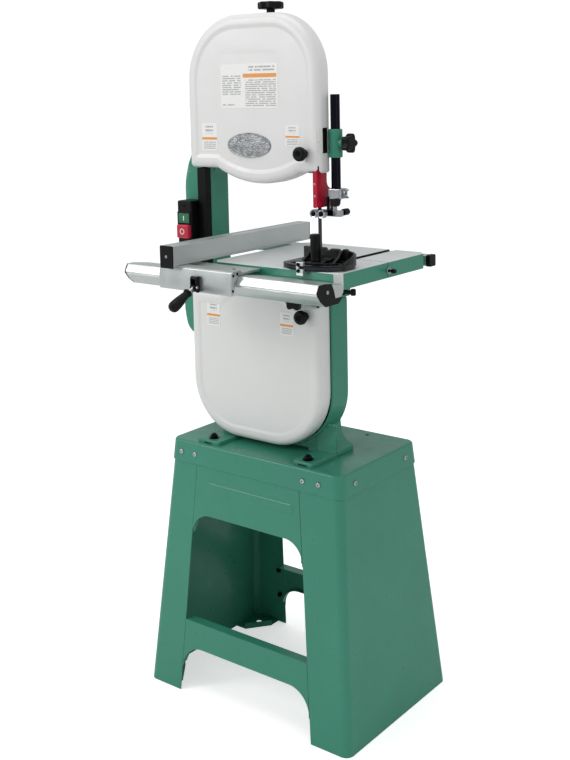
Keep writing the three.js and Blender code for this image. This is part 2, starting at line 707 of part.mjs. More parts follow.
const PULLEY_Y = FRAME_BACK_Y + 46;
function grooved(a, b, r, y, width) {
  const h = width / 2;
  return [[0, y - h], [r, y - h], [r, y - h + 3], [r - 9, y - 2.5], [r - 9, y + 2.5], [r, y + h - 3], [r, y + h], [0, y + h]];
}
const shaftBody = turned(
  [[0, BLADE_Y - 19], [15, BLADE_Y - 19], [15, BLADE_Y - 16], [12, BLADE_Y - 16], [12, BLADE_Y + 22], [12, PULLEY_Y + 16],
    [0, PULLEY_Y + 16]],
  "y", WHEEL_X, LOWER_WHEEL_Z, 20,
);
node("lower_shaft", join(shaftBody, turned(grooved(0, 0, 62, PULLEY_Y, 20), "y", WHEEL_X, LOWER_WHEEL_Z, 32)), "steel");
node(
  "motor_pulley",
  cut(
    turned(grooved(0, 0, 32, PULLEY_Y, 20), "y", MOTOR_X, MOTOR_Z, 24),
    rod("y", MOTOR_X, MOTOR_Z, 9.4, PULLEY_Y - 20, PULLEY_Y + 20, 16),
  ),
  "steel",
);
// belt: a band wrapped round both pulleys in their grooves
function beltLoop(rBig, rSmall) {
  const dx = MOTOR_X - WHEEL_X;
  const dz = MOTOR_Z - LOWER_WHEEL_Z;
  const dist = Math.hypot(dx, dz);
  const along = (Math.atan2(dz, dx) * 180) / Math.PI;
  const lean = (Math.acos((rBig - rSmall) / dist) * 180) / Math.PI;
  return [
    ...arc(WHEEL_X, LOWER_WHEEL_Z, rBig, along + lean, along + 360 - lean, 18),
    ...arc(MOTOR_X, MOTOR_Z, rSmall, along - lean, along + lean, 9),
  ];
}
node(
  "drive_belt",
  cut(
    prism(beltLoop(62 + 1, 32 + 1), "y", PULLEY_Y - 4, PULLEY_Y + 4),
    prism(beltLoop(62 - 4, 32 - 4), "y", PULLEY_Y - 6, PULLEY_Y + 6),
    turned(grooved(0, 0, 62.5, PULLEY_Y, 20), "y", WHEEL_X, LOWER_WHEEL_Z, 32),
    turned(grooved(0, 0, 32.5, PULLEY_Y, 20), "y", MOTOR_X, MOTOR_Z, 24),
  ),
  "rubber",
);
function bladeLoop(r) {
  return [
    ...arc(WHEEL_X, LOWER_WHEEL_Z, r, 180, 360, WHEEL_SEGMENTS / 2),
    ...arc(WHEEL_X, UPPER_WHEEL_Z, r, 0, 180, WHEEL_SEGMENTS / 2),
  ];
}
const bladeInner = (WHEEL_R + BLADE_GAP) / Math.cos(Math.PI / WHEEL_SEGMENTS);
node(
  "saw_blade",
  cut(
    prism(bladeLoop(bladeInner + BLADE_T), "y", BLADE_Y - BLADE_W / 2, BLADE_Y + BLADE_W / 2),
    prism(bladeLoop(bladeInner), "y", BLADE_Y - BLADE_W, BLADE_Y + BLADE_W),
  ),
  "spring_steel",
);
const motorShell = turned(
  [[0, FRAME_BACK_Y + 76], [MOTOR_R - 10, FRAME_BACK_Y + 76], [MOTOR_R, FRAME_BACK_Y + 84], [MOTOR_R, FRAME_BACK_Y + 220],
    [MOTOR_R - 4, FRAME_BACK_Y + 236], [MOTOR_R - 20, FRAME_BACK_Y + 244], [0, FRAME_BACK_Y + 244]],
  "y", MOTOR_X, MOTOR_Z, 28,
);
const motorShaft = rod("y", MOTOR_X, MOTOR_Z, 9, PULLEY_Y - 14, FRAME_BACK_Y + 80, 16);
const motorBracket = join(
  box(MOTOR_X - 58, MOTOR_X + 42, FRAME_BACK_Y + 10.4, FRAME_BACK_Y + 18, MOTOR_Z - 46, MOTOR_Z - 36),
  box(MOTOR_X - 58, MOTOR_X - 44, FRAME_BACK_Y + 10.4, FRAME_BACK_Y + 90, MOTOR_Z - 46, MOTOR_Z + 40),
  box(MOTOR_X - 58, MOTOR_X + 42, FRAME_BACK_Y + 10.4, FRAME_BACK_Y + 90, MOTOR_Z - 56, MOTOR_Z - 44),
);
const terminalBox = box(MOTOR_X - 34, MOTOR_X + 34, FRAME_BACK_Y + 120, FRAME_BACK_Y + 190, MOTOR_Z + 60, MOTOR_Z + 98);
node("motor", join(motorShell, motorShaft, motorBracket, terminalBox), "motor_paint");

// ---- upper wheel slide and tension gear ----
const slideBody = join(
  box(WHEEL_X - 25.4, WHEEL_X + 25.4, -45, FRAME_BACK_Y + 2, 1440, 1528),
  rod("y", WHEEL_X, UPPER_WHEEL_Z, 10, BLADE_Y - 18, -40, 20),
  rod("y", WHEEL_X, UPPER_WHEEL_Z, 15, -50, -44, 20),
  rod("y", WHEEL_X, UPPER_WHEEL_Z, 15, BLADE_Y - 20.4, BLADE_Y - 16.4, 20),
);
const SCREW_Y = -14;
const TRACK_Z = 1462;
node(
  "wheel_slide",
  cut(
    slideBody,
    rod("z", WHEEL_X, SCREW_Y, 5.6, 1430, 1540, 16),
    rod("y", WHEEL_X, TRACK_Z, 5.5, -12, FRAME_BACK_Y + 10, 16),
  ),
  "grey_casting",
);
const tensionScrew = rod("z", WHEEL_X, SCREW_Y, 5.2, 1444, 1697, 14);
const tensionGrip = join(
  lobed("z", WHEEL_X, SCREW_Y, 29, 3, 6, 1697.5, 1714.6, 36),
  rod("z", WHEEL_X, SCREW_Y, 9.5, 1668.6, 1699, 20),
);
node("tension_knob", join(tensionScrew, tensionGrip), "black_plastic");
function coil(cx, cy, r, wire, z0, z1, turns) {
  const steps = Math.round(turns * 8);
  const loops = [];
  for (let i = 0; i <= steps; i += 1) {
    const t = (2 * Math.PI * turns * i) / steps;
    const z = z0 + ((z1 - z0) * i) / steps;
    const loop = [];
    for (let k = 0; k < 5; k += 1) {
      const a = (2 * Math.PI * k) / 5;
      const rr = r + wire * Math.cos(a);
      loop.push([cx + rr * Math.cos(t), cy + rr * Math.sin(t), z + wire * Math.sin(a)]);
    }
    loops.push(loop);
  }
  return loft(loops, [0, 2]);
}
node("tension_spring", coil(WHEEL_X, SCREW_Y, 11, 2, 1531, 1627, 6), "spring_steel");
const trackingGrip = lobed("y", WHEEL_X, TRACK_Z, 22, 4, 5, FRAME_BACK_Y + 26, FRAME_BACK_Y + 40, 30);
node(
  "tracking_knob",
  join(trackingGrip, rod("y", WHEEL_X, TRACK_Z, 5, -7.5, FRAME_BACK_Y + 28, 14), rod("y", WHEEL_X, TRACK_Z, 11, FRAME_BACK_Y + 8, FRAME_BACK_Y + 14, 6)),
  "black_plastic",
);

// ---- blade channel and switch on the column ----
const channelBody = cut(
  box(-222.5, -193.5, -80, -61, 1014, 1316),
  box(-218, -197, -78.3, -60, 1010, 1320),
);
node("blade_channel", channelBody, "black_plastic");
const switchShell = softPrism(
  roundedRect(-269, -223, 1128, 1235, 5, 3),
  roundedRect(-267.5, -224.5, 1129.5, 1233.5, 4, 3),
  "y", -108, -61, 2,
);
const startWell = box(-264.5, -227, -112, -101, 1178, 1204);
const stopWell = box(-264.5, -224.8, -112, -103.5, 1141, 1176);
node("switch_box", cut(switchShell, startWell, stopWell, box(-249, -241, -106, -98, 1180, 1200)), "black_plastic");
node(
  "start_button",
  softPrism(
    roundedRect(-264, -227.5, 1178.5, 1203.5, 2.5, 2),
    roundedRect(-263, -228.5, 1179.5, 1202.5, 2, 2),
    "y", -111, -105.2, 1,
  ),
  "green_plastic",
);
node(
  "stop_paddle",
  join(
    softPrism(
      roundedRect(-264, -225.3, 1141.5, 1175.5, 3, 2),
      roundedRect(-263, -226.3, 1142.5, 1174.5, 2.5, 2),
      "y", -118, -108.4, 1.5,
    ),
    box(-249, -241, -109, -107.6, 1146, 1170),
  ),
  "red_plastic",
);

// ---- guide post and upper guides ----
node("guide_post", rod("z", POST_X, POST_Y, POST_R, POST_Z0, POST_Z1, 28, 1), "black_steel");
const starX = POST_X + 29;
node(
  "post_lock_knob",
  join(
    lobed("x", POST_Y, 1383, 19.5, 3.6, 5, starX, starX + 19, 30),
    rod("x", POST_Y, 1383, 8, starX - 5, starX + 1, 16),
    rod("x", POST_Y, 1383, 4, POST_X + 11.6, starX, 16),
  ),
  "black_plastic",
);
const guardRight = BLADE_X + 5;
const guardLeft = BLADE_X - 6;
const guardFront = -88;
const guardSide = prism(
  [[guardFront, 1235], [-46, 1235], [-31, 1243], [-31, 1279], [-40, 1283], [-47, 1292], [-49, 1304], [-49, 1340],
    [guardFront, 1340]],
  "x", guardRight - 1.6, guardRight,
);
const guardFace = box(guardLeft, guardRight, guardFront - 1.6, guardFront, 1235, 1340);
const guardEdge = box(guardLeft, guardLeft + 1.6, guardFront - 1, guardFront + 10, 1235, 1340);
node("blade_guard", join(guardSide, guardFace, guardEdge), "red_plastic");
const GUIDE_Z = 1221;
const ADJUST_X = BLADE_X + 34;
const clampBody = join(
  softPrism(
    roundedRect(POST_X - 14.6, POST_X + 22, POST_Y - 16, POST_Y + 16, 4, 3),
    roundedRect(POST_X - 13.6, POST_X + 21, POST_Y - 15, POST_Y + 15, 3, 3),
    "z", 1256, 1279, 1,
  ),
  box(BLADE_X + 10.5, POST_X - 3, POST_Y - 8, POST_Y + 8, GUIDE_Z - 7, 1257),
  box(guardRight + 0.4, POST_X - 8, POST_Y - 6, POST_Y + 10, 1237, 1256),
  box(BLADE_X - 26, BLADE_X + 48, -60, -46, GUIDE_Z - 7, GUIDE_Z + 7),
  box(BLADE_X - 7, BLADE_X + 18, -47, -36, GUIDE_Z - 7, GUIDE_Z + 7),
);
node(
  "guide_clamp",
  cut(
    clampBody,
    rod("z", POST_X, POST_Y, POST_R + 0.35, 1248, 1300, 28),
    rod("x", POST_Y, 1268, 3.4, POST_X + 5, POST_X + 30, 12),
    rod("y", BLADE_X, GUIDE_Z, 6.2, -70, -30, 16),
    box(BLADE_X - 3.5, BLADE_X + 3.5, -64, -55, 1200, 1240),
    rod("y", ADJUST_X, GUIDE_Z, 3.5, -52, -30, 12),
    rod("y", BLADE_X - 10.9, GUIDE_Z, 3.4, -70, -49, 12),
    rod("y", BLADE_X + 10.9, GUIDE_Z, 3.4, -70, -49, 12),
  ),
  "steel",
);
function sideBearing(x, z, y0) {
  return join(
    turned(
      [[0, y0 + 2], [5, y0 + 2], [5, y0], [9.4, y0], [10.2, y0 + 0.8], [10.2, y0 + 13.2], [9.4, y0 + 14], [0, y0 + 14]],
      "y", x, z, 20,
    ),
    rod("y", x, z, 3.1, y0 + 13, y0 + 33, 12),
  );
}
node("guide_bearing_left", sideBearing(BLADE_X - 10.9, GUIDE_Z, -84), "steel");
node("guide_bearing_right", sideBearing(BLADE_X + 10.9, GUIDE_Z, -84), "steel");
node(
  "thrust_bearing",
  turned(
    [[0, -63], [11, -63], [12, -62], [12, -56.8], [0, -56.8]].map(([r, h]) => [r * 0.49, h]),
    "y", BLADE_X, GUIDE_Z, 24,
  ).add(rod("y", BLADE_X, GUIDE_Z, 5.8, -58, -38, 20)),
  "steel",
);
node(
  "guide_adjust_knob",
  join(
    rod("y", ADJUST_X, GUIDE_Z, 3.1, -50, -27, 12),
    rod("y", ADJUST_X, GUIDE_Z, 8, -28, -8, 20, 1.2),
  ),
  "black_plastic",
);
const wing = join(
  rod("x", POST_Y, 1268, 3, POST_X + 11.8, POST_X + 27, 12),
  rod("x", POST_Y, 1268, 6, POST_X + 22.4, POST_X + 26, 14),
  box(POST_X + 24, POST_X + 36, POST_Y - 1.6, POST_Y + 1.6, 1271, 1279),
  box(POST_X + 24, POST_X + 36, POST_Y - 1.6, POST_Y + 1.6, 1257, 1265),
  box(POST_X + 23, POST_X + 27, POST_Y - 1.6, POST_Y + 1.6, 1257, 1279),
);
node("clamp_screw", wing, "steel");

// ---- lower guides and trunnion bracket ----
const PIVOT_Z = TABLE_TOP_Z;
const SHOE_R = 71.6;
const KNOB_Z = 1038;
const saddleSide = (y0, y1, bottom) =>
  prism([[122, bottom], [166, bottom], ...arc(BLADE_X, PIVOT_Z, 72, -74, -108, 8)], "y", y0, y1);
const saddle = join(
  saddleSide(-166, -120, 1024),
  saddleSide(-24, 22, 1015),
  box(114, 134, -164, 20, 1022, 1040),
);
node(
  "trunnion_bracket",
  cut(
    saddle,
    rod("y", BLADE_X + 4, KNOB_Z, 5.4, -180, -116, 16),
    box(135, 200, -119, -25, 1000, 1100),
  ),
  "green_paint",
);
node(
  "trunnion_knob",
  join(
    lobed("y", BLADE_X + 4, KNOB_Z, 24, 3.2, 6, -190, -173, 36),
    rod("y", BLADE_X + 4, KNOB_Z, 9, -174, -169, 16),
    rod("y", BLADE_X + 4, KNOB_Z, 5, -172, -124, 16),
  ),
  "black_plastic",
);
const lowerGuide = join(
  box(114, 122, -62, -34, 1040.4, 1074),
  box(118, 176, -52, -44, 1052, 1074),
);
node(
  "lower_guide_bracket",
  cut(
    lowerGuide,
    rod("y", BLADE_X - 10.9, 1063, 3.4, -70, -40, 12),
    rod("y", BLADE_X + 10.9, 1063, 3.4, -70, -40, 12),
    rod("y", BLADE_X, 1063, 4.6, -70, -40, 12),
  ),
  "steel",
);
const lowBearing = (x) =>
  join(rod("y", x, 1063, 10.2, -84, -70, 20, 0.8), rod("y", x, 1063, 3.1, -71, -45, 14));
node("lower_bearing_left", lowBearing(BLADE_X - 10.9), "steel");
node("lower_bearing_right", lowBearing(BLADE_X + 10.9), "steel");

// ---- table ----
const TX0 = BLADE_X - TABLE_HALF;
const TX1 = BLADE_X + TABLE_HALF;
const TY0 = BLADE_Y - TABLE_HALF;
const TY1 = BLADE_Y + TABLE_HALF;
const tableLoop = (inset, z) =>
  roundedRect(TX0 + inset, TX1 - inset, TY0 + inset, TY1 - inset, Math.max(14 - inset, 2), 3).map((p) => [p[0], p[1], z]);
const tableSlab = loft([
  tableLoop(1, TABLE_TOP_Z - TABLE_SKIRT),
  tableLoop(0, TABLE_TOP_Z - TABLE_SKIRT + 1),
  tableLoop(0, TABLE_TOP_Z - 1),
  tableLoop(1, TABLE_TOP_Z),
]);
const tableUnder = prism(
  roundedRect(TX0 + 10, TX1 - 10, TY0 + 10, TY1 - 10, 6, 2), "z", TABLE_TOP_Z - TABLE_SKIRT - 1, TABLE_TOP_Z - TABLE_PLATE,
);
const slotBack = box(
  MITER_SLOT_X - MITER_SLOT_W / 2, MITER_SLOT_X + MITER_SLOT_W / 2, TY0 - 1, TY1 + 1,
  TABLE_TOP_Z - MITER_SLOT_D, TABLE_TOP_Z + 1,
);
const slotRib = box(
  MITER_SLOT_X - 20, MITER_SLOT_X + 20, TY0 + 5, TY1 - 5, TABLE_TOP_Z - MITER_SLOT_D - 9, TABLE_TOP_Z - 10,
);
const ribLeft = box(TX0 + 5, 112, BLADE_Y - 5, BLADE_Y + 5, TABLE_TOP_Z - 26, TABLE_TOP_Z - 11);
const pinHole = rod("x", SLIT_Y, TABLE_TOP_Z - 19, 4.3, TX1 - 30, TX1 + 5, 16);
node(
  "table",
  cut(
    join(cut(tableSlab, tableUnder), slotRib, ribLeft),
    slotBack,
    rod("z", BLADE_X, BLADE_Y, INSERT_R + 0.3, TABLE_TOP_Z - 3.4, TABLE_TOP_Z + 1, 32),
    rod("z", BLADE_X, BLADE_Y, INSERT_R - 4, TABLE_TOP_Z - 40, TABLE_TOP_Z + 1, 32),
    box(BLADE_X, TX1 + 1, SLIT_Y - SLIT_W / 2, SLIT_Y + SLIT_W / 2, TABLE_TOP_Z - 40, TABLE_TOP_Z + 1),
    pinHole,
    box(TX1 - 40, TX1 - 10.01, SLIT_Y - 4, SLIT_Y + 4, TABLE_TOP_Z - 30, TABLE_TOP_Z - 12),
  ),
  "ground_iron",
);
node(
  "table_insert",
  cut(
    rod("z", BLADE_X, BLADE_Y, INSERT_R - 0.1, TABLE_TOP_Z - 3.1, TABLE_TOP_Z - 0.1, 32),
    box(BLADE_X - 1.4, BLADE_X + INSERT_R + 2, SLIT_Y - 1.2, SLIT_Y + 1.2, 1100, 1130),
    box(BLADE_X - 3.6, BLADE_X + 3.6, BLADE_Y - 10, SLIT_Y + 1.2, 1100, 1130),
  ),
  "bare_aluminium",
);
node(
  "table_pin",
  turned(
    [[0, TX1 - 24], [3.2, TX1 - 24], [4, TX1 - 20], [4, TX1 + 1], [3, TX1 + 3], [3, TX1 + 12], [5.4, TX1 + 14],
      [5.4, TX1 + 19], [4, TX1 + 21], [0, TX1 + 21]],
    "x", SLIT_Y, TABLE_TOP_Z - 19, 20,
  ),
  "steel",
);
function trunnionShoe(y0, y1) {
  const shoe = prism(
    [...arc(BLADE_X, PIVOT_Z, SHOE_R, -38, -142, 16), ...arc(BLADE_X, PIVOT_Z, SHOE_R - 12, -142, -38, 14)],
    "y", y0, y1,
  );
  const web = box(BLADE_X - 44, BLADE_X - 30, y0, y1, PIVOT_Z - 56, PIVOT_Z - TABLE_PLATE - 0.4);
  const webRight = box(BLADE_X + 30, BLADE_X + 44, y0, y1, PIVOT_Z - 56, PIVOT_Z - TABLE_PLATE - 0.4);
  const flange = box(BLADE_X - 50, BLADE_X + 50, y0 - 4, y1 + 4, PIVOT_Z - TABLE_PLATE - 8, PIVOT_Z - TABLE_PLATE - 0.4);
  return join(shoe, web, webRight, flange);
}
node("front_trunnion", trunnionShoe(-158, -142), "grey_casting");
node("rear_trunnion", trunnionShoe(-8, 8), "grey_casting");

// ---- rails and fence ----
const railOutline = [
  [-331, 1109.4], [-310, 1109.4], [-256, 1101.8], [-250.6, 1096], [-250.6, 1083], [-255, 1069.5], [-266, 1061], [-311, 1061],
  [-327, 1073], [-338, 1087.2], [-336.6, 1088], [-336.6, 1090], [-339.6, 1090.4], [-339, 1095],
];
const railCore = [
  [-327, 1105.4], [-311, 1105.4], [-262, 1098.5], [-262, 1086], [-266, 1073], [-271, 1066], [-308, 1066], [-323, 1077], [-333, 1091],
];
node(
  "front_rail",
  cut(
    prism(railOutline, "x", RAIL_X0, RAIL_X1),
    prism(railCore, "x", RAIL_X0 - 1, RAIL_X1 + 1),
  ),
  "bare_aluminium",
);
node(
  "rear_rail",
  cut(
    prism(roundedRect(112, 137, 1086, 1112, 3, 2), "x", RAIL_X0, RAIL_X1 - 12),
    prism(roundedRect(115, 134, 1089, 1109, 2, 2), "x", RAIL_X0 - 1, RAIL_X1 + 8),
  ).add(box(TX0 + 20, TX0 + 60, TY1 + 0.3, 113, 1090, 1108)).add(box(TX1 - 60, TX1 - 20, TY1 + 0.3, 113, 1090, 1108)),
  "bare_aluminium",
);
const carriageOutline = [
  [-352, 1118], [-349, 1121.4], [-322, 1121.4], [-318, 1115.6], [-253.4, 1115.6], [-253.4, 1110], [-331.5, 1110],
  [-340.2, 1095.2], [-340.4, 1087.4], [-345, 1080], [-347, 1070], [-350, 1067], [-354, 1069], [-355, 1090],
];
node(
  "fence_carriage",
  cut(
    prism(carriageOutline, "x", CARRIAGE_X0, CARRIAGE_X1),
    prism([[-347, 1117], [-326, 1117], [-336, 1109.5], [-343, 1098]], "x", CARRIAGE_X0 - 1, CARRIAGE_X1 + 1),
  ).add(box(-60, -56, -300, -262, 1111, 1113)),
  "bare_aluminium",
);
const fenceTube = cut(
  prism(roundedRect(FENCE_X0, FENCE_X1, FENCE_Z0, FENCE_Z1, 1.2, 1), "y", FENCE_Y0 + 3, FENCE_Y1),
  prism(roundedRect(FENCE_X0 + 3, FENCE_X1 - 3, FENCE_Z0 + 3, FENCE_Z1 - 3, 1, 1), "y", FENCE_Y0 - 1, FENCE_Y1 + 1),
);
node("fence_beam", fenceTube, "bare_aluminium");
node(
  "fence_end_cap",
  cut(
    join(
      prism(roundedRect(FENCE_X0, FENCE_X1, FENCE_Z0 - 5, FENCE_Z1, 1.2, 1), "y", FENCE_Y0, FENCE_Y0 + 2.7),
      prism(roundedRect(FENCE_X0 + 3.4, FENCE_X1 - 3.4, FENCE_Z0 + 3.4, FENCE_Z1 - 3.4, 1, 1), "y", FENCE_Y0 + 2, FENCE_Y0 + 14),
    ),
    rod("y", (FENCE_X0 + FENCE_X1) / 2, (FENCE_Z0 + FENCE_Z1) / 2, 2.4, FENCE_Y0 - 1, FENCE_Y0 + 6, 10),
  ),
  "black_plastic",
);
const LOCK_X = 18.5;
const LOCK_Y = -365;
const LOCK_Z = 1081;
const LOCK_HALF_W = 9.6;
node(
  "fence_lock_block",
  cut(
    prism([[-355.7, 1105], [-364, 1105], [-367, 1101], [-367, 1073], [-364, 1069], [-355.7, 1069]], "x", LOCK_X - LOCK_HALF_W, LOCK_X + LOCK_HALF_W),
    box(LOCK_X - 6.2, LOCK_X + 6.2, -375, -358.2, 1060, 1110),
  ),
  "black_plastic",
);
const grip = turned(
  [[0, LOCK_Y - 82], [7, LOCK_Y - 82], [11, LOCK_Y - 78], [12.5, LOCK_Y - 71], [11.6, LOCK_Y - 54], [9.4, LOCK_Y - 36],
    [8, LOCK_Y - 26], [10, LOCK_Y - 23], [10, LOCK_Y - 20], [0, LOCK_Y - 20]],
  "y", LOCK_X, LOCK_Z, 20,
);
const stem = rod("y", LOCK_X, LOCK_Z, 4, LOCK_Y - 24, LOCK_Y - 2, 12);
const lockHub = rod("x", LOCK_Y, LOCK_Z, 6.2, LOCK_X - 5.9, LOCK_X + 5.9, 16);
node("fence_lock_handle", turnX(join(grip, stem, lockHub), LOCK_Y, LOCK_Z, 27), "black_plastic");

// ---- miter gauge ----
const BAR_Z1 = TABLE_TOP_Z - 0.3;
const HEAD_Y = -150;
const HEAD_R = 106;
const HEAD_LEFT = 70;
const HEAD_RIGHT = 84;
const UPRIGHT_RIGHT = 50;
const HANDLE_Y = -204;
const POINTER_Y = -264;
node(
  "miter_bar",
  join(
    box(MITER_SLOT_X - 9.4, MITER_SLOT_X + 9.4, POINTER_Y, -58, BAR_Z1 - 8.9, BAR_Z1),
    box(MITER_SLOT_X - 9.4, MITER_SLOT_X + 9.4, POINTER_Y, POINTER_Y + 7, BAR_Z1 - 2, 1140),
    rod("z", MITER_SLOT_X, HEAD_Y, 4.6, BAR_Z1 - 1, BAR_Z1 + 9, 14),
  ),
  "steel",
);
// fan-shaped base with a shallow curved pocket, standing behind it the face the work rests on
const fanLeft = (Math.acos(HEAD_LEFT / HEAD_R) * 180) / Math.PI;
const fanRight = (Math.acos(HEAD_RIGHT / HEAD_R) * 180) / Math.PI;
const headOutline = [
  [MITER_SLOT_X - HEAD_LEFT, HEAD_Y],
  ...arc(MITER_SLOT_X, HEAD_Y, HEAD_R, 180 + fanLeft, 360 - fanRight, 18),
  [MITER_SLOT_X + HEAD_RIGHT, HEAD_Y - 30],
  [MITER_SLOT_X + HEAD_RIGHT - 16, HEAD_Y],
];
const headPlate = prism(headOutline, "z", TABLE_TOP_Z + 0.4, TABLE_TOP_Z + 12);
const headPocket = prism(
  [...arc(MITER_SLOT_X, HEAD_Y, 95, 236, 316, 12), ...arc(MITER_SLOT_X, HEAD_Y, 30, 316, 236, 6)],
  "z", TABLE_TOP_Z + 8.5, TABLE_TOP_Z + 20,
);
const upright = box(
  MITER_SLOT_X - HEAD_LEFT, MITER_SLOT_X + UPRIGHT_RIGHT, HEAD_Y - 5.5, HEAD_Y + 5.5, TABLE_TOP_Z + 0.4, TABLE_TOP_Z + 37,
);
// curved wall that closes the fan on the side away from the blade
const wingOuter = [[UPRIGHT_RIGHT - 2, 5.5], [UPRIGHT_RIGHT + 14, 4], [HEAD_RIGHT - 10, -4], [HEAD_RIGHT - 1, -24], [HEAD_RIGHT - 1, -52]];
const wingInner = [[HEAD_RIGHT - 8, -52], [HEAD_RIGHT - 8, -26], [HEAD_RIGHT - 16, -10], [UPRIGHT_RIGHT + 12, -3], [UPRIGHT_RIGHT - 2, -2]];
const fanWall = prism(
  [...wingOuter, ...wingInner].map(([x, y]) => [MITER_SLOT_X + x, HEAD_Y + y]),
  "z", TABLE_TOP_Z + 5, TABLE_TOP_Z + 30,
);
const brace = (x) =>
  prism(
    [[HEAD_Y - 40, TABLE_TOP_Z + 5], [HEAD_Y, TABLE_TOP_Z + 5], [HEAD_Y, TABLE_TOP_Z + 33], [HEAD_Y - 10, TABLE_TOP_Z + 33]],
    "x", x - 3.5, x + 3.5,
  );
const pivotBoss = rod("z", MITER_SLOT_X, HEAD_Y, 13, TABLE_TOP_Z + 3, TABLE_TOP_Z + 15, 20);
const handleBoss = rod("z", MITER_SLOT_X, HANDLE_Y, 15, TABLE_TOP_Z + 5, TABLE_TOP_Z + 13, 20);
node(
  "miter_head",
  cut(
    join(cut(headPlate, headPocket), upright, fanWall, brace(MITER_SLOT_X - 50), brace(MITER_SLOT_X + 36), pivotBoss, handleBoss),
    rod("z", MITER_SLOT_X, HEAD_Y, 5, TABLE_TOP_Z - 1, TABLE_TOP_Z + 10, 14),
  ),
  "black_steel",
);
node(
  "miter_handle",
  turned(
    [[0, TABLE_TOP_Z + 13.4], [10.6, TABLE_TOP_Z + 13.4], [11.4, TABLE_TOP_Z + 15], [11, TABLE_TOP_Z + 26],
      [11.9, TABLE_TOP_Z + 38], [11.9, TABLE_TOP_Z + 72], [11, TABLE_TOP_Z + 74], [0, TABLE_TOP_Z + 74]],
    "z", MITER_SLOT_X, HANDLE_Y, 20,
  ),
  "black_plastic",
);
node(
  "table_lock_lever",
  join(
    box(296, 330, -204, -196, 1070, 1077),
    rod("z", 300, -200, 8, 1066, 1083.6, 16),
    rod("z", 330, -200, 5.5, 1068, 1080, 14),
  ),
  "black_plastic",
);

// ---- seat the whole saw: box centre over the origin, feet on the floor ----
const whole = new THREE.Box3().setFromObject(model);
const offset = new THREE.Vector3(-(whole.min.x + whole.max.x) / 2, -(whole.min.y + whole.max.y) / 2, -whole.min.z);
for (const mesh of model.children) mesh.geometry.translate(offset.x, offset.y, offset.z);

export default model;
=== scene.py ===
import bpy, bmesh, math
from mathutils import Matrix, Vector


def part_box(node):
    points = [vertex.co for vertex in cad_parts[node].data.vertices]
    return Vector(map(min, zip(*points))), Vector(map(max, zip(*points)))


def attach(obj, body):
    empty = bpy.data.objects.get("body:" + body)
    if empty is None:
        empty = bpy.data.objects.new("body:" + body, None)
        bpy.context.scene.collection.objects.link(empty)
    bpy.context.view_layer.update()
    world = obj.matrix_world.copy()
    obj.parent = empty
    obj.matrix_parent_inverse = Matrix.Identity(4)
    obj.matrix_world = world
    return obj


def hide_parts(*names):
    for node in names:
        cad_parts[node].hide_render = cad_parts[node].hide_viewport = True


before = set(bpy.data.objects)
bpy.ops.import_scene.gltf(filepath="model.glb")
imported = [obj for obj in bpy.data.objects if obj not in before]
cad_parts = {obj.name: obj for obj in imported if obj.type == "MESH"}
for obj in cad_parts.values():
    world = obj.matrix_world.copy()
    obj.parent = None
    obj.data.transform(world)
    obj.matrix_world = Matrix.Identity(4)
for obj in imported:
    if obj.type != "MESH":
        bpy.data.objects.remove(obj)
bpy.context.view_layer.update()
scene = bpy.context.scene

# ---------------------------------------------------------------- layout, in millimetres
# The saw's own layout frame: stand centred on x = y = 0, floor at z = 0.
WHEEL_X = -28.6
WHEEL_R = 177.2
LOW_Z = 856
UP_Z = 1484
BLADE_X = WHEEL_X + (WHEEL_R + 0.3) / math.cos(math.pi / 44) + 0.4
BLADE_Y = -71
SLIT_Y = BLADE_Y + 10
TOP_Z = 1120
TABLE_HALF = 177.8
FRONT_Y = -97
BACK_Y = -55.5
FRAME_Y0 = -54.5
FRAME_Y1 = 9
HINGE_X = -250
HINGE_Y = BACK_Y - 5
POST_X = 183
POST_Y = -52
GUIDE_Z = 1221
LOCK = (18.5, -365, 1081)
SCREW_Y = -14
TRACK_Z = 1462
MOTOR_X = -132
MOTOR_Z = 760
POST_LOCK_Z = 1383
CLAMP_Z = 1268
LOWER_GUIDE_Z = 1063
LOCK_TILT = 27
FLOOR_HALF = 40
HEAD_X = 234
HEAD_Y = -150

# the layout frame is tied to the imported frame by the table's corner
low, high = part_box("table")
SHIFT = Vector((low.x * 1000 - (BLADE_X - TABLE_HALF), low.y * 1000 - (BLADE_Y - TABLE_HALF),
                high.z * 1000 - TOP_Z))
TO_ROW = Matrix.Diagonal((0.001, 0.001, 0.001, 1)) @ Matrix.Translation(SHIFT)


# ---------------------------------------------------------------- materials
def tree(name):
    m = bpy.data.materials.new(name)
    m.use_nodes = True
    nt = m.node_tree

    def add(kind, inputs=None, **props):
        n = nt.nodes.new("ShaderNode" + kind)
        for k, v in props.items():
            setattr(n, k, v)
        for k, v in (inputs or {}).items():
            if isinstance(v, bpy.types.NodeSocket):
                nt.links.new(v, n.inputs[k])
            else:
                n.inputs[k].default_value = v
        return n

    return m, nt, nt.nodes["Principled BSDF"], add


def rgb(hexa, k=1.0):
    out = []
    for i in (1, 3, 5):
        c = int(hexa[i:i + 2], 16) / 255
        out.append(min(1, (c / 12.92 if c <= 0.04045 else ((c + 0.055) / 1.055) ** 2.4) * k))
    return (*out, 1)


def mix(add, factor, a, b, blend="MIX"):
    return add("Mix", {0: factor, 6: a, 7: b}, data_type="RGBA", blend_type=blend).outputs[2]


def noise(add, where, scale, detail=3, stretch=(1, 1, 1), rough=0.55):
    at = add("Mapping", {"Vector": where, "Scale": stretch}).outputs[0]
    return add("TexNoise", {"Vector": at, "Scale": scale, "Detail": detail,
                            "Roughness": rough}).outputs["Fac"]


def ramp(add, value, lo, hi, to_lo, to_hi):
    values = {"Value": value, "From Min": lo, "From Max": hi, "To Min": to_lo, "To Max": to_hi}
    return add("MapRange", values).outputs[0]


ROUGH_SWING = 0.08


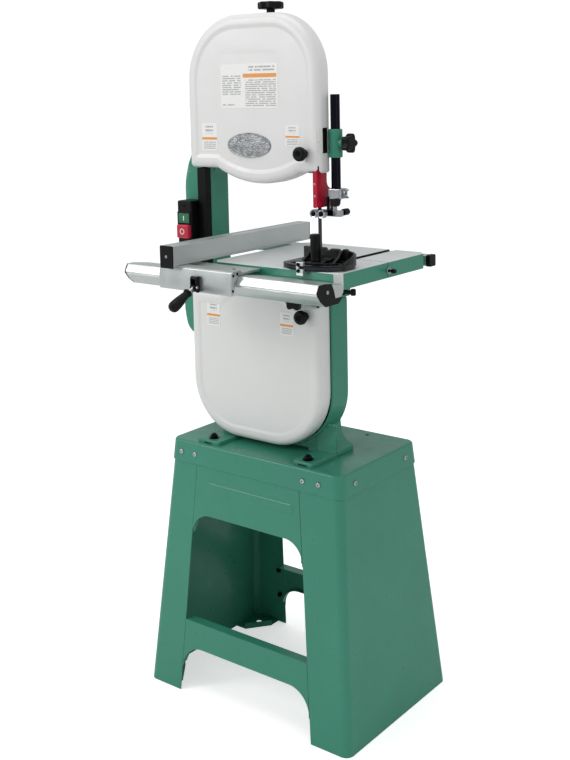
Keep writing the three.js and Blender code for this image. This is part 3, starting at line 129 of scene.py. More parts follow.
def surface(name, color, rough, metal=0.0, coat=0.0, mottle=0.06, peel=(), wear_and_highlight=None,
            brush=None, spec=0.5):
    """Procedural surface. peel is a list of (noise per metre, height in mm), and brush is
    (stretch, height, tint).
    The edge tuple is (edge colour, edge width in mm, how much): it lightens the edges, partly as
    rubbed wear and partly as a painted highlight where the edges catch the light."""
    m, nt, bsdf, add = tree(name)
    where = add("TexCoord").outputs["Object"]
    big = noise(add, where, 7, 4)
    fine = noise(add, where, 160, 5)
    base = mix(add, ramp(add, big, 0.3, 0.7, 0, 1), rgb(color, 1 - mottle), rgb(color, 1 + mottle))
    base = mix(add, ramp(add, fine, 0.35, 0.75, 0, 0.35), base, rgb(color, 1 - 2.2 * mottle))
    gloss = ramp(add, noise(add, where, 24, 5), 0.3, 0.7, rough - ROUGH_SWING, rough + ROUGH_SWING)
    height = None
    if brush:
        stretch, depth, tint = brush
        lines = noise(add, where, 90, 6, stretch, 0.7)
        base = mix(add, ramp(add, lines, 0.3, 0.7, 0, tint), base, rgb(color, 0.62))
        gloss = add("Math", {0: gloss, 1: ramp(add, lines, 0.3, 0.7, -0.07, 0.09)},
                    operation="ADD").outputs[0]
        height = add("Bump", {"Height": lines, "Strength": 1.0, "Distance": depth / 1000}).outputs[0]
    for scale, depth in peel:
        values = {"Height": noise(add, where, scale, 2), "Strength": 1.0, "Distance": depth / 1000}
        if height:
            values["Normal"] = height
        height = add("Bump", values).outputs[0]
    # lighter edges: partly rubbed wear, partly a painted highlight of the light caught on the edges
    if wear_and_highlight:
        wear_and_highlight_color, width, strength = wear_and_highlight
        geo = add("NewGeometry")
        soft = add("Bevel", {"Radius": width / 1000}, samples=4).outputs[0]
        same = add("VectorMath", {0: soft, 1: geo.outputs["Normal"]},
                   operation="DOT_PRODUCT").outputs["Value"]
        edge = ramp(add, same, 0.985, 0.86, 0, 1)
        patch = ramp(add, noise(add, where, 60, 5), 0.42, 0.62, 0.15, 1)
        amount = add("Math", {0: edge, 1: patch}, operation="MULTIPLY").outputs[0]
        amount = add("Math", {0: amount, 1: strength}, operation="MULTIPLY").outputs[0]
        base = mix(add, amount, base, rgb(wear_and_highlight_color))
    if height:
        nt.links.new(height, bsdf.inputs["Normal"])
    nt.links.new(base, bsdf.inputs["Base Color"])
    nt.links.new(gloss, bsdf.inputs["Roughness"])
    bsdf.inputs["Metallic"].default_value = metal
    bsdf.inputs["Coat Weight"].default_value = coat
    bsdf.inputs["Coat Roughness"].default_value = 0.12
    bsdf.inputs["Specular IOR Level"].default_value = spec
    return m


def lift_to_white(m, amount):
    """Adds a glow only the camera sees, so that the floor runs out into the white background."""
    nt = m.node_tree
    path = nt.nodes.new("ShaderNodeLightPath")
    glow = nt.nodes.new("ShaderNodeEmission")
    scale = nt.nodes.new("ShaderNodeMath")
    scale.operation = "MULTIPLY"
    scale.inputs[1].default_value = amount
    both = nt.nodes.new("ShaderNodeAddShader")
    nt.links.new(path.outputs["Is Camera Ray"], scale.inputs[0])
    nt.links.new(scale.outputs[0], glow.inputs["Strength"])
    nt.links.new(nt.nodes["Principled BSDF"].outputs[0], both.inputs[0])
    nt.links.new(glow.outputs[0], both.inputs[1])
    nt.links.new(both.outputs[0], nt.nodes["Material Output"].inputs["Surface"])


PEEL = ((230, 0.10), (900, 0.03))
# the lighter edge colour in each tuple below is partly wear and partly a painted highlight on the edges
GREEN = surface("sea_green_enamel", "#3a8a72", 0.34, coat=0.2, spec=0.3, mottle=0.05, peel=PEEL,
                wear_and_highlight=("#8fc0b0", 1.6, 0.5))
DARK_GREEN = surface("casting_green_enamel", "#3a8a72", 0.4, coat=0.15, spec=0.3, mottle=0.07,
                     peel=((140, 0.22), (600, 0.08)),
                     wear_and_highlight=("#8dbfae", 1.8, 0.5))
WHITE = surface("warm_white_enamel", "#e4e4e2", 0.42, coat=0.2, mottle=0.018,
                peel=((260, 0.07), (900, 0.02)))
BLACK = surface("black_moulding", "#050608", 0.42, spec=0.2, mottle=0.2, peel=((1400, 0.05),),
                wear_and_highlight=("#34363c", 0.9, 0.5))
BLACK_SHEET = surface("black_sheet", "#030405", 0.5, spec=0.15, mottle=0.25, peel=((500, 0.06),),
                      wear_and_highlight=("#3a3c44", 0.8, 0.5))
RED = surface("crimson_guard", "#c00a30", 0.3, coat=0.15, spec=0.3, mottle=0.07, peel=((300, 0.05),),
              wear_and_highlight=("#e0708a", 1.2, 0.6))
RED_KEY = surface("red_key", "#bf0c31", 0.35, coat=0.3, mottle=0.05, peel=((900, 0.03),))
GREEN_KEY = surface("green_key", "#0c6b46", 0.35, coat=0.3, mottle=0.05, peel=((900, 0.03),))
RAIL_METAL = surface("extruded_aluminium", "#ccd1d0", 0.34, metal=0.85, mottle=0.03,
                     brush=((1.2, 38, 38), 0.035, 0.22),
                     wear_and_highlight=("#f4f6f6", 0.8, 0.6))
FENCE_METAL = surface("fence_aluminium", "#ccd2d0", 0.36, metal=0.8, mottle=0.03,
                      brush=((38, 1.2, 38), 0.03, 0.2),
                      wear_and_highlight=("#f4f6f6", 0.8, 0.6))
TABLE_METAL = surface("ground_iron", "#dfe2e1", 0.42, metal=0.5, mottle=0.03,
                      brush=((2, 60, 60), 0.01, 0.12),
                      peel=((120, 0.01),))
CASTING = surface("bare_casting", "#8f9393", 0.5, metal=0.7, mottle=0.1, peel=((220, 0.3), (800, 0.1)),
                  wear_and_highlight=("#d6d8d8", 1.2, 0.7))
STEEL = surface("turned_steel", "#b9bcc0", 0.25, metal=1.0, mottle=0.06, brush=((30, 30, 30), 0.015, 0.25),
                wear_and_highlight=("#eef0f2", 0.6, 0.6))
BLADE_STEEL = surface("blade_steel", "#4b4f57", 0.33, metal=1.0, mottle=0.1, brush=((60, 60, 3), 0.01, 0.4))
BLUED = surface("blacked_steel", "#15171f", 0.22, metal=0.9, mottle=0.15, brush=((60, 60, 2), 0.01, 0.3))
BLACK_IRON = surface("black_casting", "#08080b", 0.36, spec=0.3, mottle=0.2, coat=0.12,
                     peel=((260, 0.2), (900, 0.06)),
                     wear_and_highlight=("#3a3d43", 1.0, 0.5))
RUBBER = surface("tyre_rubber", "#232120", 0.78, mottle=0.2, peel=((700, 0.12),))
MOTOR_PAINT = surface("motor_enamel", "#26282d", 0.42, mottle=0.12, coat=0.2, peel=((400, 0.08),),
                      wear_and_highlight=("#5b5f66", 1.4, 0.5))
SPRING = surface("spring_wire", "#6d7178", 0.3, metal=1.0, mottle=0.15, peel=((900, 0.03),))
FLOOR = surface("pale_floor", "#f6f6f5", 0.6, mottle=0.006, peel=((40, 0.05),), spec=0.1)
lift_to_white(FLOOR, 0.55)
INSERT = surface("soft_insert", "#c9cdcd", 0.4, metal=0.6, mottle=0.08, brush=((40, 2, 40), 0.02, 0.25))


def badge_material():
    """Silvery cast oval with a hammered field: no mark of any kind."""
    m, nt, bsdf, add = tree("hammered_badge")
    where = add("TexCoord").outputs["Object"]
    cells = add("TexVoronoi", {"Vector": where, "Scale": 210}).outputs["Distance"]
    grain = noise(add, where, 420, 5)
    tone = mix(add, ramp(add, noise(add, where, 60, 5), 0.35, 0.65, 0, 1), rgb("#7b7d7f"), rgb("#c2c4c5"))
    base = mix(add, ramp(add, grain, 0.35, 0.7, 0, 0.6), tone, rgb("#5f6164"))
    bump = add("Bump", {"Height": cells, "Strength": 0.9, "Distance": 0.0008}).outputs[0]
    bump = add("Bump", {"Height": grain, "Strength": 0.8, "Distance": 0.0004, "Normal": bump}).outputs[0]
    nt.links.new(base, bsdf.inputs["Base Color"])
    nt.links.new(bump, bsdf.inputs["Normal"])
    bsdf.inputs["Metallic"].default_value = 0.75
    bsdf.inputs["Roughness"].default_value = 0.42
    return m


BADGE = badge_material()


def label_material(name, bands, rows, paper="#f1f1ee"):
    """Blank printed plate: coloured bands and rows of grey dashes, laid out over the plate's own box.
    bands is a list of (left, right, bottom, top, colour) and rows of
    (left, right, bottom, top, row count)."""
    m, nt, bsdf, add = tree(name)
    coord = add("TexCoord")
    xyz = add("SeparateXYZ", {0: coord.outputs["Generated"]})
    u, v = xyz.outputs[0], xyz.outputs[2]

    def between(value, lo, hi):
        above = add("Math", {0: value, 1: lo}, operation="GREATER_THAN").outputs[0]
        below = add("Math", {0: value, 1: hi}, operation="LESS_THAN").outputs[0]
        return add("Math", {0: above, 1: below}, operation="MULTIPLY").outputs[0]

    def inside(left, right, bottom, top):
        return add("Math", {0: between(u, left, right), 1: between(v, bottom, top)},
                   operation="MULTIPLY").outputs[0]

    speck = noise(add, coord.outputs["Object"], 300, 4)
    color = mix(add, ramp(add, speck, 0.3, 0.7, 0, 0.3), rgb(paper), rgb(paper, 0.86))
    for left, right, bottom, top, tone in bands:
        color = mix(add, inside(left, right, bottom, top), color, rgb(tone))
    for left, right, bottom, top, count in rows:
        step = add("Math", {0: v, 1: count / (top - bottom)}, operation="MULTIPLY").outputs[0]
        line = add("Math", {0: step}, operation="FRACT").outputs[0]
        on_line = add("Math", {0: line, 1: 0.52}, operation="LESS_THAN").outputs[0]
        row_id = add("Math", {0: step}, operation="FLOOR").outputs[0]
        spot = add("CombineXYZ", {0: u, 1: row_id}).outputs[0]
        dashes = add("TexNoise", {"Vector": spot, "Scale": 16, "Detail": 3}).outputs["Fac"]
        on_dash = add("Math", {0: dashes, 1: 0.44}, operation="GREATER_THAN").outputs[0]
        mask = add("Math", {0: on_line, 1: on_dash}, operation="MULTIPLY").outputs[0]
        mask = add("Math", {0: mask, 1: inside(left, right, bottom, top)}, operation="MULTIPLY").outputs[0]
        mask = add("Math", {0: mask, 1: 0.62}, operation="MULTIPLY").outputs[0]
        color = mix(add, mask, color, rgb("#6d6f72"))
    nt.links.new(color, bsdf.inputs["Base Color"])
    bsdf.inputs["Roughness"].default_value = 0.45
    bsdf.inputs["Coat Weight"].default_value = 0.2
    return m


ORANGE = "#e8983a"
BIG_LABEL = label_material(
    "blank_data_plate", [(0.40, 0.98, 0.69, 0.78, ORANGE)],
    [(0.03, 0.36, 0.30, 0.76, 9), (0.44, 0.97, 0.04, 0.66, 13), (0.50, 0.95, 0.82, 0.96, 2),
     (0.03, 0.24, 0.06, 0.12, 1)])
SMALL_LABEL = label_material(
    "blank_small_plate", [(0.02, 0.98, 0.40, 0.49, ORANGE)],
                             [(0.12, 0.9, 0.05, 0.34, 4), (0.25, 0.75, 0.62, 0.9, 2)])


# ---------------------------------------------------------------- mesh kit
def raw(points, faces):
    me = bpy.data.meshes.new("work")
    me.from_pydata([tuple(p) for p in points], [], faces)
    bm = bmesh.new()
    bm.from_mesh(me)
    bmesh.ops.remove_doubles(bm, verts=bm.verts, dist=1e-4)
    bmesh.ops.recalc_face_normals(bm, faces=bm.faces)
    bm.to_mesh(me)
    bm.free()
    o = bpy.data.objects.new("work", me)
    scene.collection.objects.link(o)
    return o


def loft(loops, closed=False):
    """Skin over rings of equal length, with end faces unless the rings close on themselves."""
    n = len(loops[0])
    points = [p for loop in loops for p in loop]
    faces = []
    rows = len(loops)
    for k in range(rows if closed else rows - 1):
        for i in range(n):
            j = (i + 1) % n
            a, b = k * n, ((k + 1) % rows) * n
            faces.append((a + i, a + j, b + j, b + i))
    if not closed:
        faces += [tuple(range(n)), tuple(range((rows - 1) * n, rows * n))]
    return raw(points, faces)


PLACE = {
    "x": lambda u, v, w: (w, u, v),
    "y": lambda u, v, w: (u, w, v),
    "z": lambda u, v, w: (u, v, w),
}


def prism(outline, axis, a, b):
    put = PLACE[axis]
    return loft([[put(u, v, w) for u, v in outline] for w in (a, b)])


def box(x0, x1, y0, y1, z0, z1):
    return prism([(x0, y0), (x1, y0), (x1, y1), (x0, y1)], "z", z0, z1)


def lathe(profile, axis, a, b, seg=40):
    """profile: (radius, height) from axis to axis, or a closed ring when its first radius is above zero."""
    put = PLACE[axis]
    hollow = profile[0][0] > 0
    rings = profile if hollow else profile[1:-1]
    loops = []
    for r, h in rings:
        turn = [2 * math.pi * i / seg for i in range(seg)]
        loops.append([put(a + r * math.cos(t), b + r * math.sin(t), h) for t in turn])
    if hollow:
        return loft(loops, closed=True)
    return loft(loops)


def rod(axis, a, b, r, h0, h1, seg=32):
    return lathe([(0, h0), (r, h0), (r, h1), (0, h1)], axis, a, b, seg)


def arc(cx, cy, r, d0, d1, steps):
    turn = [math.radians(d0 + (d1 - d0) * i / steps) for i in range(steps + 1)]
    return [(cx + r * math.cos(t), cy + r * math.sin(t)) for t in turn]


def rounded(x0, x1, y0, y1, r, n=6):
    return (arc(x1 - r, y0 + r, r, -90, 0, n) + arc(x1 - r, y1 - r, r, 0, 90, n)
            + arc(x0 + r, y1 - r, r, 90, 180, n) + arc(x0 + r, y0 + r, r, 180, 270, n))


def pillow(x0, x1, y0, y1, r, axis, a, b, edge, n=6):
    """Rounded plate whose outer face at b rolls off with a soft edge."""
    put = PLACE[axis]
    sign = 1 if b > a else -1
    loops = [(0, a)]
    for k in range(5):
        t = math.pi / 2 * k / 4
        loops.append((edge * (1 - math.cos(t)), b - sign * edge * (1 - math.sin(t))))
    out = []
    for inset, w in loops:
        ring = rounded(x0 + inset, x1 - inset, y0 + inset, y1 - inset, max(r - inset, 0.3), n)
        out.append([put(u, v, w) for u, v in ring])
    return loft(out)


def lobes(axis, a, b, mean, swing, count, h0, h1, steps=96, edge=2.5, power=1.0):
    put = PLACE[axis]
    loops = []
    sign = 1 if h1 > h0 else -1
    shells = []
    for k in range(5):
        t = math.pi / 2 * k / 4
        shells.append((edge * (1 - math.sin(t)), h0 + sign * edge * (1 - math.cos(t))))
    shells += [(i, h0 + h1 - w) for i, w in reversed(shells)]
    for inset, w in shells:
        loop = []
        for i in range(steps):
            t = 2 * math.pi * i / steps
            c = math.cos(count * t)
            c = math.copysign(abs(c) ** power, c)
            r = mean + swing * c - inset
            loop.append(put(a + r * math.cos(t), b + r * math.sin(t), w))
        loops.append(loop)
    return loft(loops)


def tube(path, r, seg=10):
    """Round wire along a list of points."""
    path = [Vector(p) for p in path]
    side = Vector((0, 0, 1)) if abs((path[1] - path[0]).normalized().z) < 0.9 else Vector((1, 0, 0))
    loops = []
    for i, p in enumerate(path):
        along = (path[min(i + 1, len(path) - 1)] - path[max(i - 1, 0)]).normalized()
        side = (side - along * side.dot(along)).normalized()
        up = along.cross(side)
        turn = [2 * math.pi * k / seg for k in range(seg)]
        loops.append([p + (side * math.cos(t) + up * math.sin(t)) * r for t in turn])
    return loft(loops)


def carve(o, *tools, op="DIFFERENCE"):
    for t in tools:
        mod = o.modifiers.new("cut", "BOOLEAN")
        mod.object = t
        mod.operation = op
        mod.solver = "EXACT"
    bpy.context.view_layer.update()
    dg = bpy.context.evaluated_depsgraph_get()
    me = bpy.data.meshes.new_from_object(o.evaluated_get(dg), depsgraph=dg)
    o.modifiers.clear()
    old = o.data
    o.data = me
    bpy.data.meshes.remove(old)
    for t in tools:
        drop(t)
    return o


def fuse(o, *others):
    return carve(o, *others, op="UNION")


def drop(o):
    me = o.data
    bpy.data.objects.remove(o)
    bpy.data.meshes.remove(me)


def turn(o, axis, point, degrees):
    put = Matrix.Translation(Vector(point))
    o.data.transform(put @ Matrix.Rotation(math.radians(degrees), 4, axis) @ put.inverted())
    return o


def soften(o, width, seg=2, angle=30):
    bm = bmesh.new()
    bm.from_mesh(o.data)
    bmesh.ops.dissolve_limit(bm, angle_limit=math.radians(0.4), verts=bm.verts, edges=bm.edges)
    limit = math.radians(angle)
    edges = [e for e in bm.edges if len(e.link_faces) == 2 and e.calc_face_angle(0) > limit]
    bmesh.ops.bevel(bm, geom=edges, offset=width, offset_type="OFFSET", segments=seg, profile=0.5,
                    affect="EDGES", clamp_overlap=True)
    bmesh.ops.remove_doubles(bm, verts=bm.verts, dist=1e-4)
    bm.to_mesh(o.data)
    bm.free()
    return o


def piece(name, parts, material, body, replaces=(), bevel=0.0, seg=2, angle=30, smooth=38,
          paint=()):
    """Joins shapes into one shown piece on a body.
    paint: pairs of a material and a test on a face's centre and normal."""
    parts = parts if isinstance(parts, (list, tuple)) else [parts]
    bm = bmesh.new()
    for p in parts:
        if bevel:
            soften(p, bevel, seg, angle)
        bm.from_mesh(p.data)
    me = bpy.data.meshes.new(name)
    bm.to_mesh(me)
    bm.free()
    for p in parts:
        drop(p)
    for m in (material, *[m for m, _ in paint]):
        me.materials.append(m)
    if paint:
        for poly in me.polygons:
            for i, (_, test) in enumerate(paint):
                if test(poly.center, poly.normal):
                    poly.material_index = i + 1
    me.transform(TO_ROW)
    me.shade_smooth()
    me.set_sharp_from_angle(angle=math.radians(smooth))
    o = bpy.data.objects.new(name, me)
    scene.collection.objects.link(o)
    even = o.modifiers.new("even_shading", "WEIGHTED_NORMAL")
    even.keep_sharp = True
    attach(o, body)
    if replaces:
        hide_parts(*replaces)
    return o


def hex_head(axis, a, b, r, h0, h1):
    """Hexagon with a domed face at h1."""
    put = PLACE[axis]
    sign = 1 if h1 > h0 else -1
    loops = []
    for k, w in ((1, h0), (1, h1 - sign * r * 0.18), (0.86, h1)):
        turn_by = [math.pi / 3 * i + 0.2 for i in range(6)]
        loops.append([put(a + r * k * math.cos(t), b + r * k * math.sin(t), w) for t in turn_by])
    return loft(loops)


def screw(axis, a, b, r, h0, h1):
    """Pan-head screw with a hexagon socket, head growing from h0 to h1."""
    sign = 1 if h1 > h0 else -1
    k = abs(h1 - h0)
    head = lathe([(0, h0), (r, h0), (r, h0 + sign * k * 0.5), (r * 0.9, h0 + sign * k * 0.85),
                  (r * 0.7, h1), (0, h1)],
                 axis, a, b, 24)
    put = PLACE[axis]
    socket = []
    for w in (h1 - sign * k * 0.6, h1 + sign):
        socket.append([put(a + r * 0.42 * math.cos(math.pi / 3 * i),
                           b + r * 0.42 * math.sin(math.pi / 3 * i), w)
                       for i in range(6)])
    return carve(head, loft(socket))


# ---------------------------------------------------------------- stand
STAND_H = 637


CORNER = 24


def half(z):
    return 316 - 55 * z / STAND_H, 222 - 59.5 * z / STAND_H


def stand_loop(z, inset):
    hx, hy = half(z)
    ring = rounded(-hx + inset, hx - inset, -hy + inset, hy - inset, CORNER - inset, 10)
    return [(x, y, z) for x, y in ring]


def seam(z, side):
    return 205 - (50 + 17 * side) * z / STAND_H


def flip_x(o):
    o.data.transform(Matrix.Diagonal((-1, 1, 1, 1)))
    o.data.flip_normals()
    return o


roll = [(5 * (1 - math.cos(t)),
         STAND_H - 5 + 5 * math.sin(t)) for t in [math.pi / 2 * k / 6 for k in range(7)]]
cap = loft([stand_loop(583, 1.0), stand_loop(584.2, 0)] + [stand_loop(z, i) for i, z in roll])
cap = carve(cap, loft([stand_loop(575, 3), stand_loop(633.8, 3.2)]), rod("z", 137, 132, 6, 600, 660),
            *[rod("z", x, y, 5.5, 620, 650) for x in (-158, 148) for y in (-127, -6)])
piece("stand_top_cap", cap, GREEN, "frame", ["stand_top"])


def wall(outline, sign, inset, thick):
    """Sheet on the sloped front or back of the stand, from an outline in x and z."""
    outer = [(x, sign * (half(z)[1] - inset), z) for x, z in outline]
    inner = [(x, sign * (half(z)[1] - inset - thick), z) for x, z in outline]
    return loft([outer, inner])


def side_sheet(side):
    def ring(z):
        def edge(inset):
            hx, hy = half(z)
            hx, hy, r = hx - inset, hy - inset, CORNER - inset
            return ([(seam(z, side) + 0.6, -hy)] + arc(hx - r, -hy + r, r, -90, 0, 10)
                    + arc(hx - r, hy - r, r, 0, 90, 10) + [(seam(z, side) + 0.6, hy)])
        return [(x, y, z) for x, y in edge(3.4) + edge(6.0)[::-1]]
    parts = [loft([ring(0.2), ring(200), ring(420), ring(633.6)])]
    r = CORNER - 6.1
    for end in (-1, 1):
        hx, hy = half(0)
        hx, hy = hx - 6.1, hy - 6.1
        corner = arc(hx - r, end * (hy - r), r, *((0, 90) if end > 0 else (0, -90)), 8)
        plate = [(hx, end * (hy - 92))] + corner + [(hx - 78, end * hy), (hx - 78, end * (hy - 30)),
                                                    (hx - 30, end * (hy - 92))]
        parts.append(carve(prism(plate, "z", 0.2, 3.2), rod("z", hx - 36, end * (hy - 36), 8, -5, 9)))
        parts.append(prism([(hx - 78, end * (hy - 30)), (hx - 30, end * (hy - 92)),
                            (hx - 32, end * (hy - 93.5)),
                            (hx - 79.6, end * (hy - 32))], "z", 0.2, 16))
    return parts


left_side = [flip_x(p) for p in side_sheet(-1)]
piece("stand_side_sheet_right", side_sheet(1), GREEN, "frame", ["stand_side_right"], bevel=0.7)
piece("stand_side_sheet_left", left_side, GREEN, "frame", ["stand_side_left"], bevel=0.7)


def opening(z_seam, z_centre, r, d):
    """Lower edge of a front or rear panel: a straight run between two rounded haunches,
    grown outwards by d."""
    ends = {}
    for side in (-1, 1):
        x = seam(z_seam, side) - 0.4
        ends[side] = [(side * u, v) for u, v in arc(x - r, z_centre, r + d, 0, 90, 14)]
    return ends[-1] + ends[1][::-1]


def turned_lip(inner, outer, sign, a, b):
    """Return flange that runs round an opening: two outlines of equal length, from inset a to inset b."""
    loops = []
    for (x0, z0), (x1, z1) in zip(inner, outer):
        y0, y1 = half(z0)[1], half(z1)[1]
        loops.append([(x0, sign * (y0 - a), z0), (x1, sign * (y1 - a), z1), (x1, sign * (y1 - b), z1),
                      (x0, sign * (y0 - b), z0)])
    return loft(loops)


def arch_sheet(sign):
    top = 633.6
    under = opening(408, 406, 55, 0)
    face = wall([(-seam(top, -1) + 0.4, top)] + under + [(seam(top, 1) - 0.4, top)], sign, 3.4, 2.6)
    lip = turned_lip(under[2:-2], opening(408, 406, 55, 2.6)[2:-2], sign, 5.8, 19)
    tabs = []
    for s in (-1, 1):
        tab = [(s * (seam(412, s) - 6), 412), (s * (seam(412, s) + 24), 412),
               (s * (seam(top, s) + 24), top),
               (s * (seam(top, s) - 6), top)]
        tabs.append(wall(tab, sign, 6.5, 2.5))
    return [face, lip, *tabs]


def low_bar(sign):
    under = opening(62, 58, 62, 0)
    left, right = 0.4 - seam(185, -1), seam(185, 1) - 0.4
    face = wall([(left, 185)] + under + [(right, 185)], sign, 3.4, 2.6)
    top_lip = wall([(left + 2, 184.8), (left + 2, 182), (right - 2, 182), (right - 2, 184.8)], sign, 4.4,
                   26)
    low_lip = turned_lip(under[2:-2], opening(62, 58, 62, 2.6)[2:-2], sign, 5.8, 18)
    return [face, top_lip, low_lip]


for sign, where in ((-1, "front"), (1, "rear")):
    piece(f"stand_arch_{where}", arch_sheet(sign), GREEN, "frame", [f"stand_{where}_panel"],
          bevel=0.6)
    piece(f"stand_bar_{where}", low_bar(sign), GREEN, "frame", [f"stand_{where}_bar"], bevel=0.6)

# a plain raised bead pressed in the front sheet
bead_loops = []
for inset, out in ((0, 0.2), (1.4, 1.4), (3.2, 2.0)):
    ring = rounded(-142 + inset, 130 - inset, 522 + inset, 545 - inset, 11 - inset, 6)
    bead_loops.append([(x, -(half(z)[1] - 3.4 + out), z) for x, z in ring])
piece("stand_front_bead", loft(bead_loops), GREEN, "frame")

bolts = []
for x in (-224.5, -180, 156, 201.5):
    for sign in (-1, 1):
        y = sign * half(608)[1]
        bolts.append(screw("y", x, 608, 6.2, y - sign * 0.2, y + sign * 3.4))
for y in (-108, 108):
    for sign in (-1, 1):
        x = sign * half(608)[0]
        bolts.append(screw("x", y, 608, 6.2, x - sign * 0.2, x + sign * 3.4))
piece("stand_skirt_bolts", bolts, STEEL, "frame", smooth=50)

nuts = []
for z in (90, 165, 430, 520):
    for sx in (-1, 1):
        for sy in (-1, 1):
            x = sx * (seam(z, sx) + 14)
            y = sy * (half(z)[1] - 9.2)
            nuts.append(hex_head("y", x, z, 7, y, y - sy * 6))
piece("stand_seam_nuts", nuts, BLUED, "frame", smooth=50)


# ---------------------------------------------------------------- wheel housings
UPPER = dict(left=-233, right=167, far=1684.5, flat_left=1319, flat_right=1314, bulge=(-14.6, 1555.9, 271),
             corner_left=155, corner_right=141)
LOWER = dict(left=-243, right=160.5, far=647.5, flat_left=1012, flat_right=1012,
             bulge=(WHEEL_X, LOW_Z, 198),
             corner_left=140, corner_right=150)
PAN = dict(LOWER, left=-242.5, right=167.5, corner_right=140)


def housing(shape, inset, n=16):
    """Outline of a wheel housing: straight sides, rounded far corners and a round bulge by the throat."""
    x0, x1 = shape["left"] + inset, shape["right"] - inset
    rl, rr = shape["corner_left"] - inset, shape["corner_right"] - inset
    bx, bz, r = shape["bulge"]
    r -= inset

    def lean(flat):
        return math.degrees(math.asin(abs(flat - bz) / r))

    if shape["far"] > bz:
        a, b = shape["flat_left"] + inset, shape["flat_right"] + inset
        top = shape["far"] - inset
        return ([(x0, a + 5), (x0 + 5, a)] + arc(bx, bz, r, 180 + lean(a), 360 - lean(b),
                                                 2 * n) + [(x1 - 5, b), (x1, b + 5)]
                + arc(x1 - rr, top - rr, rr, 0, 90, n) + arc(x0 + rl, top - rl, rl, 90, 180, n))
    flat, low = shape["flat_left"] - inset, shape["far"] + inset
    return (arc(x0 + rl, low + rl, rl, 180, 270, n) + arc(x1 - rr, low + rr, rr, 270, 360,
        n) + [(x1, flat - 5), (x1 - 5, flat)]
            + arc(bx, bz, r, lean(flat), 180 - lean(flat), 2 * n) + [(x0 + 5, flat), (x0, flat - 5)])


def up_loop(inset):
    return housing(UPPER, inset)


def low_loop(inset):
    return housing(LOWER, inset)


def at_y(loop, y):
    return [(x, y, z) for x, z in loop]


def cover(loop):
    """Pressed cover: rolled front edge, a shallow recessed field and an open back."""
    edge = 17
    shells = [at_y(loop(0), BACK_Y)]
    for k in range(9):
        t = math.pi / 2 * k / 8
        shells.append(at_y(loop(edge * (1 - math.cos(t))), FRONT_Y + edge * (1 - math.sin(t))))
    shells.append(at_y(loop(23), FRONT_Y))
    for k in range(1, 7):
        t = math.pi * k / 6
        shells.append(at_y(loop(23 + 12 * k / 6), FRONT_Y + 1.5 * (1 - math.cos(t))))
    shell = loft(shells)
    inner = loft([at_y(loop(3), BACK_Y + 3), at_y(loop(3), FRONT_Y + 16), at_y(loop(7), FRONT_Y + 8.4),
                  at_y(loop(13), FRONT_Y + 5.8)])
    return carve(shell, inner)


def label_recess(x0, x1, z0, z1, r, depth):
    loops = []
    for inset, y in ((-1.5, FRONT_Y - 1), (0, FRONT_Y + 3), (3.6, FRONT_Y + 3 + depth)):
        loops.append([(x, y, z) for x, z in rounded(x0 + inset, x1 - inset, z0 + inset, z1 - inset,
                                                    r - inset, 8)])
    return loft(loops)


def knuckles(zs, wall_x):
    parts = []
    for z in zs:
        parts.append(rod("z", HINGE_X, HINGE_Y, 5.5, z, z + 20, 24))
        parts.append(box(HINGE_X + 1, wall_x + 2, HINGE_Y - 5, HINGE_Y + 1, z, z + 20))
    return parts


def chain_slot(z0, z1):
    return box(-226, -190, -84, BACK_Y + 5, z0, z1)


up_cover = carve(cover(up_loop), label_recess(-142, 58, 1441, 1598, 18, 1.8),
                 box(133, 163.4, FRONT_Y + 4, BACK_Y + 5, 1304, 1332), chain_slot(1304, 1332),
                 rod("y", 127, 1360, 4.6, FRONT_Y - 9, FRONT_Y + 12))
piece("upper_cover_pressing", [up_cover, *knuckles((1386.5, 1445.5), UPPER["left"])], WHITE, "upper_door",
      ["upper_cover"],
      smooth=28)
lo_cover = carve(cover(low_loop), box(133, 157.2, FRONT_Y + 4, BACK_Y + 5, 1002, 1024),
                 chain_slot(1002, 1024),
                 rod("y", 121, 980, 4.6, FRONT_Y - 9, FRONT_Y + 12))
piece("lower_cover_pressing", [lo_cover, *knuckles((822.5, 919.5), LOWER["left"])], WHITE, "lower_door",
      ["lower_cover"],
      smooth=28)


def plate(name, x0, x1, z0, z1, y, material, body, r=2.0):
    piece(name, pillow(x0, x1, z0, z1, r, "y", y + 0.4, y - 0.6, 0.3), material, body)


FIELD = FRONT_Y + 3
plate("upper_data_plate", -125, 50, 1464, 1568, FIELD + 1.8, BIG_LABEL, "upper_door", 3)
plate("upper_small_plate_left", -189, -139, 1361, 1428, FIELD, SMALL_LABEL, "upper_door")
plate("upper_small_plate_right", 70, 112, 1376, 1425, FIELD, SMALL_LABEL, "upper_door")
plate("lower_small_plate_left", -190, -146, 924, 985, FIELD, SMALL_LABEL, "lower_door")
plate("lower_small_plate_right", 43, 83, 926, 982, FIELD, SMALL_LABEL, "lower_door")
side_plate = pillow(-95, -62, 1360, 1419, 2, "x", 166, 167, 0.3)
piece("upper_side_plate", side_plate, SMALL_LABEL, "upper_door")

# oval badge: rim and slightly crowned field
oval = []
for k, y in ((1.0, 0.4), (1.0, -1.6), (0.985, -2.4), (0.955, -2.5), (0.93, -1.9), (0.9, -1.5), (0.6, -2.3),
             (0.25, -2.6)):
    oval.append([(-39 + 66.5 * k * math.cos(t), FIELD + y, 1376 + 29.5 * k * math.sin(t))
                 for t in [2 * math.pi * i / 72 for i in range(72)]])
piece("upper_oval_badge", loft(oval), BADGE, "upper_door", smooth=60)


